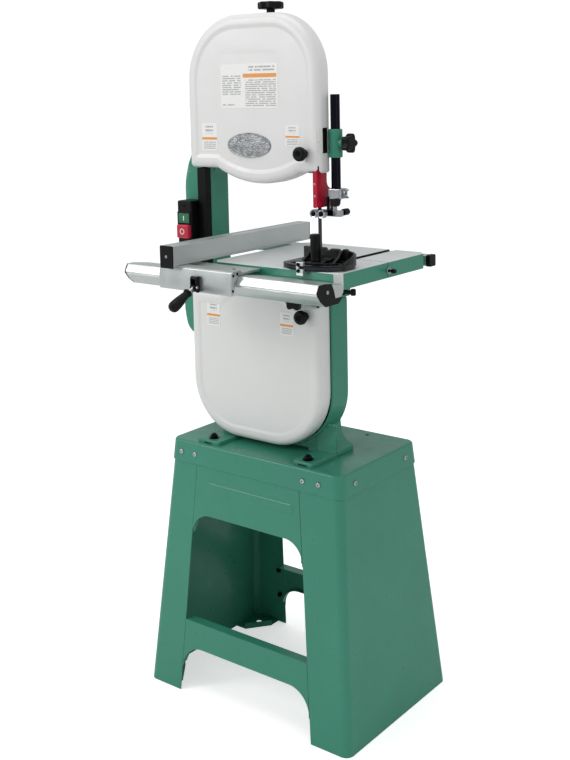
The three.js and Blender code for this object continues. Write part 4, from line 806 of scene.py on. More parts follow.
def cover_knob(name, x, z, body):
    y = FRONT_Y
    grip = lathe([(0, y - 21.5), (5, y - 21.7), (6.4, y - 23), (7.6, y - 25.4), (12.5, y - 26),
                  (15.4, y - 24.5),
                  (16.6, y - 22), (16.8, y - 15), (15.2, y - 12), (11.4, y - 9.5), (10.2, y - 6),
                  (10.6, y - 0.6),
                  (0, y - 0.6)], "y", x, z, 56)
    core = rod("y", x, z, 4.1, y - 4, BACK_Y - 4, 20)
    insert = lathe([(0, y - 23.4), (3.6, y - 23.4), (4.4, y - 22.6), (4.4, y - 20), (0, y - 20)], "y", x,
                   z, 24)
    piece(name, [grip, core], BLACK, body, [name.replace("_handle", "_knob")], smooth=45)
    piece(name + "_insert", insert, BLUED, body, smooth=45)


cover_knob("upper_cover_handle", 127, 1360, "upper_door_knob")
cover_knob("lower_cover_handle", 121, 980, "lower_door_knob")

# ---------------------------------------------------------------- cast frame


def lug(z0, p0, p1, far):
    return [rod("z", HINGE_X, HINGE_Y, 5.5, z0, z0 + 22, 24),
            box(HINGE_X - 5, HINGE_X + 5, HINGE_Y, -36, z0, z0 + 22),
            box(HINGE_X - 4.4, HINGE_X + far, -54.2, -36.5, z0 + 0.5, z0 + 21.5),
            rod("z", HINGE_X, HINGE_Y, 2.2, p0, p1, 16)]


def column_loop(left, z):
    back = FRAME_Y1 + 0.7
    r = max(6, min(30, (-205 - left) * 0.55))
    ring = (arc(left + r, FRAME_Y0 + r - 6, r, 180, 270, 10)
            + [(-198.5, FRAME_Y0 - 6), (-195.5, FRAME_Y0 - 5), (-194, FRAME_Y0 - 2), (-194, back - 8),
               (-196, back - 3), (-201, back)]
            + arc(left + r, back - r, r, 90, 180, 10))
    return [(x, y, z) for x, y in ring]


pan = carve(prism(housing(PAN, 0), "y", FRAME_Y0, FRAME_Y1), prism(housing(PAN, 7.5), "y", FRAME_Y0 - 4, 0))
soften(pan, 3.0, 3, 50)
pedestal = prism([(-184, 637.3), (174, 637.3), (174, 648), (171, 652), (161, 656), (151, 662), (144, 672),
                  (139, 686),
                  (137, 710), (139, 740), (-147, 740), (-149, 710), (-151, 686), (-156, 672), (-163, 662),
                  (-172, 656),
                  (-181, 652), (-184, 648)], "y", -50, 17)
pedestal = carve(pedestal, prism(housing(PAN, 7.5), "y", FRAME_Y0 - 4, 0), box(-97, 87, -70, -38, 620, 645))
soften(pedestal, 2.0, 3, 40)


def foot(x0, x1):
    """Low pad with a web that sweeps up behind it and a notch under its front edge."""
    pad = pillow(x0, x1, -150, -40, 7, "z", 637.3, 646.5, 2.5)
    mid = (x0 + x1) / 2
    sweep = [(-55, 645), (-54.8, 652)] + [(-54.6 + 8.6 * (k / 8) ** 1.6,
                                           652 + 60 * k / 8) for k in range(9)] + [(-46, 645)]
    web = prism(sweep, "x", x0 + 3, x1 - 3)
    notch = box(mid - 13, mid + 13, -156, -143, 634, 641.5)
    hole = rod("z", mid, -127, 6.5, 630, 668)
    return carve(fuse(pad, web), notch, hole)


low_column = loft([column_loop(x, z) for x, z in ((-311, 983), (-307.5, 1010), (-303, 1040), (-300, 1070),
                                                  (-298, 1100),
                                                   (-298, 1150))])
root = loft([column_loop(x, z) for x, z in ((-262, 884), (-279, 885.5), (-290, 890), (-301, 900),
                                            (-306, 911), (-309.5, 926),
                                            (-312.6, 944), (-313, 960), (-311, 983.5))])
low_column = fuse(low_column, root)
low_column = carve(low_column, box(-330, -180, -72, FRAME_Y0, 880, 1013),
                   box(-218, -197, -90, -50, 900, 1151))
shoulder = prism([(-196, 960), (-130, 985), (-150, 1006), (-168, 1022), (-182, 1042), (-190, 1064),
                  (-196, 1092)],
                 "y", -46, FRAME_Y1 - 0.6)
boss = lathe([(0, -18), (32, -18), (32, 30), (30, 36), (14, 37), (0, 37)], "y", WHEEL_X, LOW_Z, 48)
boss = carve(boss, rod("y", WHEEL_X, LOW_Z, 12.8, -30, 60))
ribs = []
for deg in (20, 90, 160, 200, 270, 340):
    rib = prism([(WHEEL_X + 30, LOW_Z - 5), (WHEEL_X + 168, LOW_Z - 4), (WHEEL_X + 168, LOW_Z + 4),
                 (WHEEL_X + 30, LOW_Z + 5)],
                "y", 8, 19)
    ribs.append(turn(rib, "Y", (WHEEL_X, 0, LOW_Z), deg))
motor_pad = box(-194, -86, 8, 19, 710, 810)
seat = box(112, 167, -48, FRAME_Y1 - 0.8, 985, 1014.6)
for p in (low_column, shoulder, motor_pad, seat, *ribs):
    soften(p, 2.0, 2, 35)
lugs = lug(800, 810, 843, 14) + lug(940, 918, 950, 14)
piece("lower_frame_casting", [pan, pedestal, foot(-184, -113), foot(115, 174), low_column, shoulder, boss,
                              motor_pad, seat,
                              *ribs, *lugs], DARK_GREEN, "frame", ["lower_frame"], smooth=40)

seat_bolts = []
for x in (-148.5, 144.5):
    seat_bolts.append(lathe([(6, 646.6), (13, 646.6), (13, 649.2), (6, 649.2)], "z", x, -127, 28))
    seat_bolts.append(hex_head("z", x, -127, 10, 649.2, 656))
    seat_bolts.append(rod("z", x, -127, 4.6, 640, 659, 20))
piece("seat_bolts", seat_bolts, BLUED, "frame", smooth=50)

arm = prism([(-284, 1300), (-194, 1300), (-190, 1318), (-180, 1334), (-166, 1346), (-144, 1352),
             (112, 1352), (112, 1420),
             (60, 1500), (40, 1600), (30, 1640), (12, 1662), (0, 1668), (-60, 1668), (-76, 1662),
             (-96, 1640), (-150, 1600),
             (-212, 1500), (-216, 1420), (-226, 1360)], "y", -46, FRAME_Y1)
arm = carve(arm,
            prism([(-196, 1420), (-150, 1385), (-92, 1385), (-92, 1600), (-140, 1572), (-192, 1490)], "y",
                  -60, -8),
            prism([(32, 1385), (90, 1385), (90, 1412), (44, 1486), (32, 1560)], "y", -60, -8),
            box(WHEEL_X - 26, WHEEL_X + 26, -70, 20, 1424, 1560),
            box(WHEEL_X - 19, WHEEL_X + 19, -42, 20, 1555, 1640),
            rod("z", WHEEL_X, SCREW_Y, 5.8, 1630, 1690))
soften(arm, 3.0, 3, 35)
high_column = loft([column_loop(x, z) for x, z in ((-298, 1150.4), (-298, 1262), (-297, 1276),
                                                   (-294.6, 1290), (-291, 1304))])
tip = loft([column_loop(x, z) for x, z in ((-291, 1303), (-288, 1314), (-284, 1326), (-276, 1342),
                                           (-266, 1358), (-254, 1375),
                                           (-240, 1395))])
high_column = carve(fuse(high_column, tip), box(-330, -180, -72, FRAME_Y0, 1316, 1420),
                    box(-218, -197, -90, -50, 1149, 1345))
soften(high_column, 1.0, 2, 50)
post_boss = lathe([(11.5, 1350), (14.6, 1350), (16.2, 1352), (16.2, 1413), (14.6, 1415), (11.5, 1415)],
                  "z", POST_X, POST_Y, 48)
lock_boss = lathe([(4.5, POST_X + 13), (9.5, POST_X + 13), (9.5, POST_X + 21), (8.5, POST_X + 22),
                   (4.5, POST_X + 22)],
                  "x", POST_Y, POST_LOCK_Z, 32)
post_arm = soften(box(100, 176, -46, -37, 1362, 1404), 1.5)
piece("upper_frame_casting", [arm, high_column, post_boss, lock_boss, post_arm, *lug(1364, 1374, 1407, 46),
                              *lug(1466, 1444, 1476, 46)],
      DARK_GREEN, "frame", ["upper_frame"], smooth=40)

# ---------------------------------------------------------------- blade guard on the column, switch
channel = carve(box(-222.5, -193.5, -80, -61, 1014, 1316), box(-218, -197, -78.3, -55, 1000, 1330))
piece("column_blade_channel", channel, BLACK_SHEET, "frame", ["blade_channel"], bevel=1.6, seg=3)

shell = pillow(-269, -223, 1124, 1235, 5, "y", -61, -106, 3)
shell = carve(shell, box(-265, -227, -112, -98.6, 1177, 1205),
              box(-265, -224.6, -112, -101.0, 1139, 1176.6))
rim = carve(pillow(-267.6, -224.6, 1173.6, 1208, 3, "y", -103, -109, 1.2),
            prism(rounded(-264.6, -227.6, 1177, 1204.6, 2, 4), "y", -120, -95))
piece("switch_housing", [shell, rim], BLACK, "frame", ["switch_box"], bevel=0.0)
piece("switch_cover_screws", [screw("y", -246, 1222, 3.2, -105.4, -107),
                              screw("y", -246, 1131, 3.2, -105.4, -107)],
      BLUED, "frame", smooth=50)
piece("start_key", pillow(-264, -228, 1178.5, 1203.5, 2.5, "y", -102, -109.2, 1.2), GREEN_KEY,
      "start_button",
      ["start_button"])
piece("start_key_mark", pillow(-247.4, -244.4, 1185, 1197, 0.8, "y", -109.0, -109.5, 0.2), WHITE,
      "start_button")
paddle = [pillow(-264, -225.4, 1141.5, 1175.5, 3, "y", -104.5, -117, 3)]
piece("stop_key", paddle, RED_KEY, "stop_paddle", ["stop_paddle"])
mark = lathe([(5.4, -116.9), (7.4, -116.9), (7.4, -117.4), (5.4, -117.4)], "y", -245, 1158.5, 40)
piece("stop_key_mark", mark, WHITE, "stop_paddle")

# ---------------------------------------------------------------- wheels and drive


def wheel(name, z, bore, body, casting, tyre):
    y0, y1 = BLADE_Y - 11.5, BLADE_Y + 13.5
    rim_r = WHEEL_R - 3.8
    rim = lathe([(rim_r, y0), (rim_r, y1), (rim_r - 5, y1), (rim_r - 7, y1 - 3), (rim_r - 8, 2.5 + BLADE_Y),
                 (rim_r - 14, BLADE_Y + 1), (rim_r - 14, BLADE_Y - 1), (rim_r - 8, BLADE_Y - 2.5),
                 (rim_r - 7, y0 + 3),
                 (rim_r - 5, y0)], "y", WHEEL_X, z, 128)
    hub = lathe([(bore, y0 - 4), (20, y0 - 4), (26, y0 + 1), (28, BLADE_Y), (28, y1), (25, y1 + 6),
                 (bore, y1 + 6)], "y",
                WHEEL_X, z, 48)
    parts = [rim, hub]
    for k in range(6):
        spoke = []
        for r, w, d in ((20, 14, 8), (60, 10.5, 6.5), (120, 9, 5.5), (rim_r - 8, 13, 4)):
            spoke.append([(WHEEL_X + r, BLADE_Y + d * math.sin(t), z + w * math.cos(t))
                          for t in [2 * math.pi * i / 20 for i in range(20)]])
        parts.append(turn(loft(spoke), "Y", (WHEEL_X, 0, z), 60 * k + 15))
    piece(name + "_wheel_casting", parts, CASTING, body, [casting], smooth=50)
    crown = lathe([(WHEEL_R - 3.2, y0), (WHEEL_R - 0.8, y0), (WHEEL_R, y0 + 3), (WHEEL_R, y1 - 3),
                   (WHEEL_R - 0.8, y1),
                   (WHEEL_R - 3.2, y1)], "y", WHEEL_X, z, 128)
    piece(name + "_wheel_tyre", crown, RUBBER, body, [tyre])


wheel("lower", LOW_Z, 12.3, "lower_wheel_set", "lower_wheel", "lower_tyre")
wheel("upper", UP_Z, 10.3, "upper_wheel_set", "upper_wheel", "upper_tyre")

PULLEY_Y = FRAME_Y1 + 46


def groove(r, y):
    return [(0, y - 10), (r - 1, y - 10), (r, y - 9), (r, y - 7), (r - 9, y - 2.5), (r - 9, y + 2.5),
            (r, y + 7), (r, y + 9),
            (r - 1, y + 10), (0, y + 10)]


shaft = lathe([(0, BLADE_Y - 19), (14, BLADE_Y - 19), (15, BLADE_Y - 18), (15, BLADE_Y - 16),
               (12, BLADE_Y - 16),
               (12, PULLEY_Y + 15), (11, PULLEY_Y + 16), (0, PULLEY_Y + 16)], "y", WHEEL_X, LOW_Z, 40)
holes = [rod("y", WHEEL_X + 38 * math.cos(t), LOW_Z + 38 * math.sin(t), 9, PULLEY_Y - 20, PULLEY_Y + 20, 24)
         for t in [math.pi / 2 * k + 0.4 for k in range(4)]]
big_pulley = carve(lathe(groove(62, PULLEY_Y), "y", WHEEL_X, LOW_Z, 72), *holes)
nut = hex_head("y", WHEEL_X, LOW_Z, 13, BLADE_Y - 16, BLADE_Y - 20)
piece("drive_shaft_and_pulley", [shaft, big_pulley, nut], STEEL, "lower_wheel_set",
      ["lower_shaft"], smooth=35)
small = lathe(groove(32, PULLEY_Y), "y", MOTOR_X, MOTOR_Z, 56)
small = carve(small, rod("y", MOTOR_X, MOTOR_Z, 9.4, PULLEY_Y - 20, PULLEY_Y + 20))
piece("motor_vee_pulley", small, STEEL, "motor_pulley", ["motor_pulley"], smooth=35)


def belt_loop(big, little):
    dx, dz = MOTOR_X - WHEEL_X, MOTOR_Z - LOW_Z
    along = math.degrees(math.atan2(dz, dx))
    lean = math.degrees(math.acos((big - little) / math.hypot(dx, dz)))
    return (arc(WHEEL_X, LOW_Z, big, along + lean, along + 360 - lean, 48)
            + arc(MOTOR_X, MOTOR_Z, little, along - lean, along + lean, 24))


belt = []
for grow, y in ((1.0, -6.2), (1.0, 6.2), (-7.0, 2.6), (-7.0, -2.6)):
    belt.append([(x, PULLEY_Y + y, z) for x, z in belt_loop(62 + grow, 32 + grow)])
piece("vee_belt", loft(belt, closed=True), RUBBER, "frame", ["drive_belt"])


def band(r):
    return arc(WHEEL_X, LOW_Z, r, 180, 360, 64) + arc(WHEEL_X, UP_Z, r, 0, 180, 64)


reach = WHEEL_R + 0.35
loops = []
for r, y in ((reach, -6.35), (reach + 0.8, -6.0), (reach + 0.8, 6.35), (reach, 6.35)):
    loops.append([(x, BLADE_Y + y, z) for x, z in band(r)])
teeth = []
z = 1000.0
while z < 1330:
    root_y = BLADE_Y - 6.2
    teeth.append(prism([(root_y, z), (root_y, z + 4.2), (root_y - 2.4, z + 0.9)], "x", BLADE_X - 0.45,
                       BLADE_X + 0.45))
    z += 4.4
piece("saw_band", [loft(loops, closed=True), *teeth], BLADE_STEEL, "frame", ["saw_blade"],
      smooth=30)

motor = lathe([(0, 84), (22, 84), (24, 80), (56, 80), (64, 84), (66, 92), (72, 94), (72, 224), (66, 227),
               (66, 240), (60, 249),
               (48, 253), (0, 253)], "y", MOTOR_X, MOTOR_Z, 72)
fins = [turn(box(MOTOR_X + 70, MOTOR_X + 75, 98, 220, 758.8, 761.2), "Y", (MOTOR_X, 0, MOTOR_Z), a)
        for a in (-62, -48, -34, -20, -6, 8, 22, 36, 50, 132, 146, 160, 174, 188, 202, 216, 230)]
vents = [turn(box(MOTOR_X + 22, MOTOR_X + 52, 250, 258, 758, 762), "Y", (MOTOR_X, 0, MOTOR_Z),
              30 * k) for k in range(12)]
motor = carve(motor, *vents)
bracket = [box(-190, -90, 19.4, 27, 700, 812), box(-190, -90, 19.4, 97, 696, 706)]
box_top = soften(box(-166, -98, 129, 199, 826, 858), 3, 3)
m_shaft = rod("y", MOTOR_X, MOTOR_Z, 9, PULLEY_Y - 14, 88, 28)
bracket[0] = carve(bracket[0], rod("y", MOTOR_X, MOTOR_Z, 38, 0, 50))
piece("induction_motor", [motor, box_top, m_shaft, *bracket, *fins], MOTOR_PAINT, "frame",
      ["motor"],
      smooth=35)
piece("motor_gland", lathe([(0, 196), (8, 196), (9, 200), (7, 214), (4, 216), (0, 216)], "y", -132, 842,
                           28), BLACK, "frame")

# ---------------------------------------------------------------- upper wheel slide, tension and tracking
slide = carve(box(WHEEL_X - 25.4, WHEEL_X + 25.4, -45, 11, 1440, 1528),
              rod("z", WHEEL_X, SCREW_Y, 5.6, 1430, 1540),
              rod("y", WHEEL_X, TRACK_Z, 5.6, -12, 22))
soften(slide, 2, 3)
stub = lathe([(0, BLADE_Y - 20.4), (13, BLADE_Y - 20.4), (15, BLADE_Y - 19), (15, BLADE_Y - 16.4),
              (10, BLADE_Y - 16.4),
              (10, -50), (15, -50), (15, -44), (0, -44)], "y", WHEEL_X, UP_Z, 36)
piece("wheel_slide_block", [slide, stub], CASTING, "wheel_slide", ["wheel_slide"], smooth=40)
coil = []
for i in range(6 * 24 + 1):
    t = 2 * math.pi * i / 24
    coil.append((WHEEL_X + 11 * math.cos(t), -14 + 11 * math.sin(t), 1531 + 96 * i / 144))
piece("tension_coil", tube(coil, 2.0, 10), SPRING, "wheel_slide", ["tension_spring"], smooth=60)
knob = lobes("z", WHEEL_X, SCREW_Y, 29.2, 2.7, 7, 1697.5, 1714.6, 126, 4.2, 0.8)
dish = lathe([(0, 1713), (13, 1713), (17, 1716), (17, 1720), (0, 1720)], "z", WHEEL_X, SCREW_Y, 48)
knob = carve(knob, dish)
ribbing = [turn(box(WHEEL_X + 6, WHEEL_X + 10, -14.9, -13.1, 1674, 1697.5), "Z", (WHEEL_X, SCREW_Y, 0),
                30 * k) for k in range(12)]
neck = lathe([(0, 1668.8), (10, 1668.8), (10, 1671), (8.2, 1674), (8.2, 1699), (0, 1699)], "z", WHEEL_X,
             SCREW_Y, 40)
thread = rod("z", WHEEL_X, SCREW_Y, 5.2, 1444, 1670, 24)
piece("tension_handwheel", [knob, neck, thread, *ribbing], BLACK, "tension_knob",
      ["tension_knob"], smooth=45)
piece("tension_cap_nut", hex_head("z", WHEEL_X, SCREW_Y, 7.5, 1713, 1715.6), STEEL, "tension_knob",
      smooth=45)
star = lobes("y", WHEEL_X, TRACK_Z, 22.4, 3.6, 5, 35, 49, 90, 3.5)
track = rod("y", WHEEL_X, TRACK_Z, 5, -7.5, 37, 24)
lock_nut = hex_head("y", WHEEL_X, TRACK_Z, 11, 17, 23)
piece("tracking_star", star, BLACK, "tracking_knob", ["tracking_knob"], smooth=45)
piece("tracking_screw", [track, lock_nut], STEEL, "tracking_knob", smooth=45)

# ---------------------------------------------------------------- guide post and guides
post = lathe([(0, 1250), (10, 1250), (11, 1251), (11, 1493), (10, 1494), (0, 1494)], "z", POST_X, POST_Y,
             48)
piece("guide_post_bar", post, BLUED, "guide_post", ["guide_post"], smooth=35)
star = lobes("x", POST_Y, POST_LOCK_Z, 19.6, 3.4, 5, POST_X + 28, POST_X + 48, 100, 4.5)
collar = lathe([(0, POST_X + 22.4), (7, POST_X + 22.4), (8, POST_X + 24), (8, POST_X + 29),
                (0, POST_X + 29)], "x", POST_Y, POST_LOCK_Z,
               28)
spindle = rod("x", POST_Y, POST_LOCK_Z, 4, POST_X + 11.6, POST_X + 26, 20)
piece("post_lock_star", [star, collar, spindle], BLACK, "post_lock_knob", ["post_lock_knob"],
      smooth=45)

g_r = BLADE_X + 5
g_l = BLADE_X - 6
plate_side = [(-88, 1238), (-84, 1235), (-40, 1235), (-33, 1238), (-31, 1244), (-31, 1277)]
plate_side += arc(-31, 1295, 18, 270, 180, 10)[1:] + [(-49, 1340), (-88, 1340)]
side = prism(plate_side, "x", g_r - 1.6, g_r)
face = prism(rounded(g_l, g_r, 1235, 1340, 3, 4), "y", -89.6, -88)
lip = box(g_l, g_l + 1.6, -89.6, -80, 1238, 1340)
piece("blade_guard_sheet", [soften(side, 0.7), soften(face, 0.7), soften(lip, 0.6)], RED, "guide_post",
      ["blade_guard"])
rivets = [lathe([(0, g_r), (3.6, g_r), (3.2, g_r + 1.4), (1.8, g_r + 2.2), (0, g_r + 2.4)], "x", y, z, 24)
          for y, z in ((-41, 1268), (-41, 1243))]
rivets += [lathe([(0, -89.6), (2.6, -89.6), (2.2, -90.2), (1.2, -90.6), (0, -90.7)], "y", g_l + 5, z, 20)
           for z in (1262, 1290)]
piece("guard_rivets", rivets, STEEL, "guide_post", smooth=50)

clamp = pillow(POST_X - 14.6, POST_X + 22, POST_Y - 16, POST_Y + 16, 4, "z", 1256, 1279, 2)
clamp = carve(clamp, rod("z", POST_X, POST_Y, 11.3, 1240, 1300, 40),
              box(POST_X + 8, POST_X + 30, POST_Y - 1, POST_Y + 1, 1240, 1290))
hanger = soften(box(BLADE_X + 10.5, POST_X - 3, POST_Y - 8, POST_Y + 8, GUIDE_Z - 7, 1257), 1.5, 3)
bridge = soften(box(g_r + 0.4, POST_X - 8, POST_Y - 6, POST_Y + 10, 1237, 1256), 1.0, 2)
yoke = carve(box(BLADE_X - 26, BLADE_X + 48, -60, -46, GUIDE_Z - 7, GUIDE_Z + 7),
             rod("y", BLADE_X - 10.9, GUIDE_Z, 3.4, -70, -40),
             rod("y", BLADE_X + 10.9, GUIDE_Z, 3.4, -70, -40),
             rod("y", BLADE_X, GUIDE_Z, 6.2, -70, -30),
             box(BLADE_X - 3.5, BLADE_X + 3.5, -64, -55, 1200, 1240))
soften(yoke, 1.2, 3)
knurled = lobes("y", BLADE_X + 34, GUIDE_Z, 5.4, 0.3, 24, -47, -33, 144, 0.8)
back_block = carve(soften(box(BLADE_X - 7, BLADE_X + 18, -47, -36, GUIDE_Z - 7, GUIDE_Z + 7), 1.2, 3),
                   rod("y", BLADE_X, GUIDE_Z, 6.2, -70, -30))
piece("upper_guide_bracket", [clamp, hanger, bridge, yoke, back_block, knurled], STEEL, "guide_post",
      ["guide_clamp"],
      smooth=40)
rod_dark = rod("z", POST_X - 12, POST_Y - 16, 3.4, 1228, 1262, 20)
piece("upper_guide_rod", rod_dark, BLUED, "guide_post", smooth=40)
black_knob = lathe([(0, POST_Y - 30), (8, POST_Y - 30), (9.6, POST_Y - 28), (9.6, POST_Y - 18),
                    (8, POST_Y - 16), (0, POST_Y - 16)],
                   "y", POST_X + 15, 1249, 36)
piece("upper_guide_depth_knob", black_knob, BLACK, "guide_post", smooth=40)


def bearing(x, z, y0, body, node, tail):
    outer = lathe([(6.6, y0 + 0.6), (8.8, y0 + 0.2), (9.6, y0), (10.2, y0 + 0.8), (10.2, y0 + 13.2),
                   (9.6, y0 + 14),
                   (6.6, y0 + 13.6)], "y", x, z, 48)
    shield = lathe([(0, y0 + 1.6), (6.7, y0 + 1.6), (6.7, y0 + 13), (0, y0 + 13)], "y", x, z, 36)
    piece(node + "_race", outer, STEEL, body, [node], smooth=35)
    core = [hex_head("y", x, z, 4.6, y0 + 1.6, y0 - 1.6), rod("y", x, z, 3.1, y0 + 12, y0 + tail, 20)]
    piece(node + "_core", [shield, *core], BLUED, body, smooth=35)


bearing(BLADE_X - 10.9, GUIDE_Z, -84, "guide_bearing_left", "guide_bearing_left", 33)
bearing(BLADE_X + 10.9, GUIDE_Z, -84, "guide_bearing_right", "guide_bearing_right", 33)
bearing(BLADE_X - 10.9, LOWER_GUIDE_Z, -84, "lower_bearing_left", "lower_bearing_left", 38)
bearing(BLADE_X + 10.9, LOWER_GUIDE_Z, -84, "lower_bearing_right", "lower_bearing_right", 38)
thrust = lathe([(0, -62.2), (4.6, -62.2), (5.4, -62.9), (5.9, -62.4), (5.9, -57.6), (5.3, -57), (5.8, -56),
                (5.8, -39), (5, -38),
                (0, -38)], "y", BLADE_X, GUIDE_Z, 36)
piece("thrust_bearing_race", thrust, STEEL, "thrust_bearing", ["thrust_bearing"], smooth=35)
adj = lobes("y", BLADE_X + 34, GUIDE_Z, 7.6, 0.4, 20, -28, -8, 160, 1.2)
adj_pin = rod("y", BLADE_X + 34, GUIDE_Z, 3.1, -50, -27, 16)
piece("guide_adjust_grip", [adj, adj_pin], BLACK, "guide_adjust_knob", ["guide_adjust_knob"],
      smooth=45)
wing_parts = [rod("x", POST_Y, CLAMP_Z, 3, POST_X + 11.8, POST_X + 27, 20),
              lathe([(0, POST_X + 22.4), (6, POST_X + 22.4), (6.5, POST_X + 24), (5, POST_X + 27),
                     (0, POST_X + 27)], "x", POST_Y, CLAMP_Z, 28)]
for s in (-1, 1):
    ear = [(POST_X + 23, CLAMP_Z + s * 3), (POST_X + 26, CLAMP_Z + s * 9),
           (POST_X + 29, CLAMP_Z + s * 11.4), (POST_X + 34, CLAMP_Z + s * 11),
           (POST_X + 35.5, CLAMP_Z + s * 7.4), (POST_X + 31, CLAMP_Z + s * 5),
           (POST_X + 27, CLAMP_Z + s * 2)]
    wing_parts.append(soften(prism(ear, "y", POST_Y - 1.7, POST_Y + 1.7), 1.2, 3))
piece("clamp_wing_screw", wing_parts, STEEL, "clamp_screw", ["clamp_screw"], smooth=45)

# ---------------------------------------------------------------- trunnion and lower guide
KNOB_X, KNOB_Z = BLADE_X + 4, 1038


def saddle(y0, y1, bottom):
    return prism([(122, bottom), (166, bottom)] + arc(BLADE_X, TOP_Z, 72, -74, -108, 20), "y", y0, y1)


seat_parts = [saddle(-166, -120, 1024), saddle(-24, 22, 1015), box(114, 134, -164, 20, 1022, 1040)]
seat_parts[0] = carve(seat_parts[0], rod("y", KNOB_X, KNOB_Z, 5.4, -180, -110))
for p in seat_parts:
    soften(p, 2.0, 3, 40)
piece("trunnion_saddle", seat_parts, DARK_GREEN, "frame", ["trunnion_bracket"], smooth=40)
star = lobes("y", KNOB_X, KNOB_Z, 24, 3.2, 6, -190, -174, 108, 4)
knob_hub = lathe([(0, -175), (11, -175), (9, -170), (0, -169)], "y", KNOB_X, KNOB_Z, 32)
knob_pin = rod("y", KNOB_X, KNOB_Z, 5, -171, -124, 20)
piece("trunnion_star", [star, knob_hub, knob_pin], BLACK, "trunnion_knob", ["trunnion_knob"],
      smooth=45)
arm_low = [carve(box(118, 176, -52, -44, 1052, 1074),
                 *[rod("y", BLADE_X + d, LOWER_GUIDE_Z, 3.4, -70, -40) for d in (-10.9, 10.9)],
                 rod("y", BLADE_X, LOWER_GUIDE_Z, 4.6, -70, -40)), box(114, 122, -62, -34, 1040.4, 1074)]
for p in arm_low:
    soften(p, 1.2, 2)
piece("lower_guide_arm", arm_low, STEEL, "frame", ["lower_guide_bracket"], smooth=40)
for y0, y1, tag in ((-158, -142, "front"), (-8, 8, "rear")):
    shoe = prism(arc(BLADE_X, TOP_Z, 71.6, -38, -142, 32) + arc(BLADE_X, TOP_Z, 59.6, -142, -38, 28), "y",
                 y0, y1)
    webs = [box(BLADE_X + a, BLADE_X + b, y0, y1, TOP_Z - 56, TOP_Z - 12.4) for a,
            b in ((-44, -30), (30, 44))]
    flange = box(BLADE_X - 50, BLADE_X + 50, y0 - 4, y1 + 4, TOP_Z - 20, TOP_Z - 12.4)
    parts = [shoe, *webs, flange]
    for p in parts:
        soften(p, 1.2, 2)
    piece(f"trunnion_shoe_{tag}", parts, CASTING, "table", [f"{tag}_trunnion"], smooth=40)

# ---------------------------------------------------------------- table
TX0, TX1 = BLADE_X - TABLE_HALF, BLADE_X + TABLE_HALF
TY0, TY1 = BLADE_Y - TABLE_HALF, BLADE_Y + TABLE_HALF


def table_ring(inset):
    c = 15 - 0.4 * inset
    x0, x1, y0, y1 = TX0 + inset, TX1 - inset, TY0 + inset, TY1 - inset
    return [(x0 + c, y0), (x1 - c, y0), (x1, y0 + c), (x1, y1 - c), (x1 - c, y1), (x0 + c, y1),
            (x0, y1 - c), (x0, y0 + c)]


slab = loft([[(x, y, z) for x, y in table_ring(i)] for i,
             z in ((0.8, 1084), (0, 1084.8), (0, 1119), (1.0, 1120))])
slab = carve(slab, prism(table_ring(9.5), "z", 1070, 1108))
under_ribs = [box(214, 254, TY0 + 6, TY1 - 6, 1101.4, 1109),
              box(TX0 + 6, 112, BLADE_Y - 5, BLADE_Y + 5, 1094, 1109)]
slab = fuse(slab, *under_ribs)
slab = carve(slab, box(224.3, 243.7, TY0 - 5, TY1 + 5, 1110.4, 1130),
             rod("z", BLADE_X, BLADE_Y, 30.3, 1116.6, 1130, 64),
             rod("z", BLADE_X, BLADE_Y, 26, 1070, 1130, 64),
             box(BLADE_X, TX1 + 5, SLIT_Y - 1.2, SLIT_Y + 1.2, 1070, 1130),
             rod("x", SLIT_Y, 1101, 4.3, TX1 - 30, TX1 + 5, 24))


def is_top(c, n):
    return n.z > 0.6 and c.z > 1109


# front right chamfer: given the bright bare metal of the top instead of the green paint, a painted
# highlight for the light the chamfer catches
def is_highlit_corner(c, n):
    return n.x > 0.5 and n.y < -0.5 and abs(n.z) < 0.3 and c.z > 1084


# walls of the miter slot get the black casting colour: painted shade standing in for the shadow down in the
# slot
def is_shaded_slot_wall(c, n):
    return abs(c.x - HEAD_X) < 9.9 and 1110 < c.z < 1119.9 and abs(n.z) < 0.5 and abs(n.x) > 0.5


soften(slab, 0.5, 2, 40)
piece("saw_table", slab, GREEN, "table", ["table"], smooth=30,
      paint=[(TABLE_METAL, is_top), (TABLE_METAL, is_highlit_corner), (BLACK_IRON, is_shaded_slot_wall)])
insert = lathe([(0, 1116.9), (29.9, 1116.9), (29.9, 1119.5), (29.5, 1119.9), (0, 1119.9)], "z", BLADE_X,
               BLADE_Y, 64)
insert = carve(insert, box(BLADE_X - 1.4, BLADE_X + 40, SLIT_Y - 1.2, SLIT_Y + 1.2, 1100, 1130),
               box(BLADE_X - 3.6, BLADE_X + 3.6, BLADE_Y - 10, SLIT_Y + 1.2, 1100, 1130),
               rod("z", BLADE_X - 20, BLADE_Y + 12, 2.2, 1118.8, 1130, 16),
               rod("z", BLADE_X - 20, BLADE_Y - 12, 2.2, 1118.8, 1130, 16))
piece("blade_insert", insert, INSERT, "table", ["table_insert"])
pin = lathe([(0, TX1 - 24), (3.2, TX1 - 24), (4, TX1 - 20), (4, TX1 + 1), (2.6, TX1 + 2.4), (2.6, TX1 + 9),
             (5, TX1 + 11), (5.4, TX1 + 13),
             (5.4, TX1 + 18), (4, TX1 + 21), (0, TX1 + 21)], "x", SLIT_Y, 1101, 32)
piece("table_level_pin", pin, BLUED, "table_pin", ["table_pin"], smooth=40)
eye = []
for i in range(25):
    t = 2 * math.pi * i / 24
    eye.append((TX1 + 3 + 0.01 * i, SLIT_Y + 6.5 * math.cos(t), 1101 + 6.5 * math.sin(t)))
piece("table_pin_ring", tube(eye, 1.2, 10), STEEL, "table_pin", smooth=60)
lever = [soften(prism(rounded(296, 332, -205, -195, 4.5, 6), "z", 1069, 1077), 1.5, 3),
         rod("z", 300, -200, 8, 1066, 1083.6, 28),
         lathe([(0, 1067), (5, 1067), (6, 1069), (6, 1079), (5, 1081), (0, 1081)], "z", 329, -200, 28)]
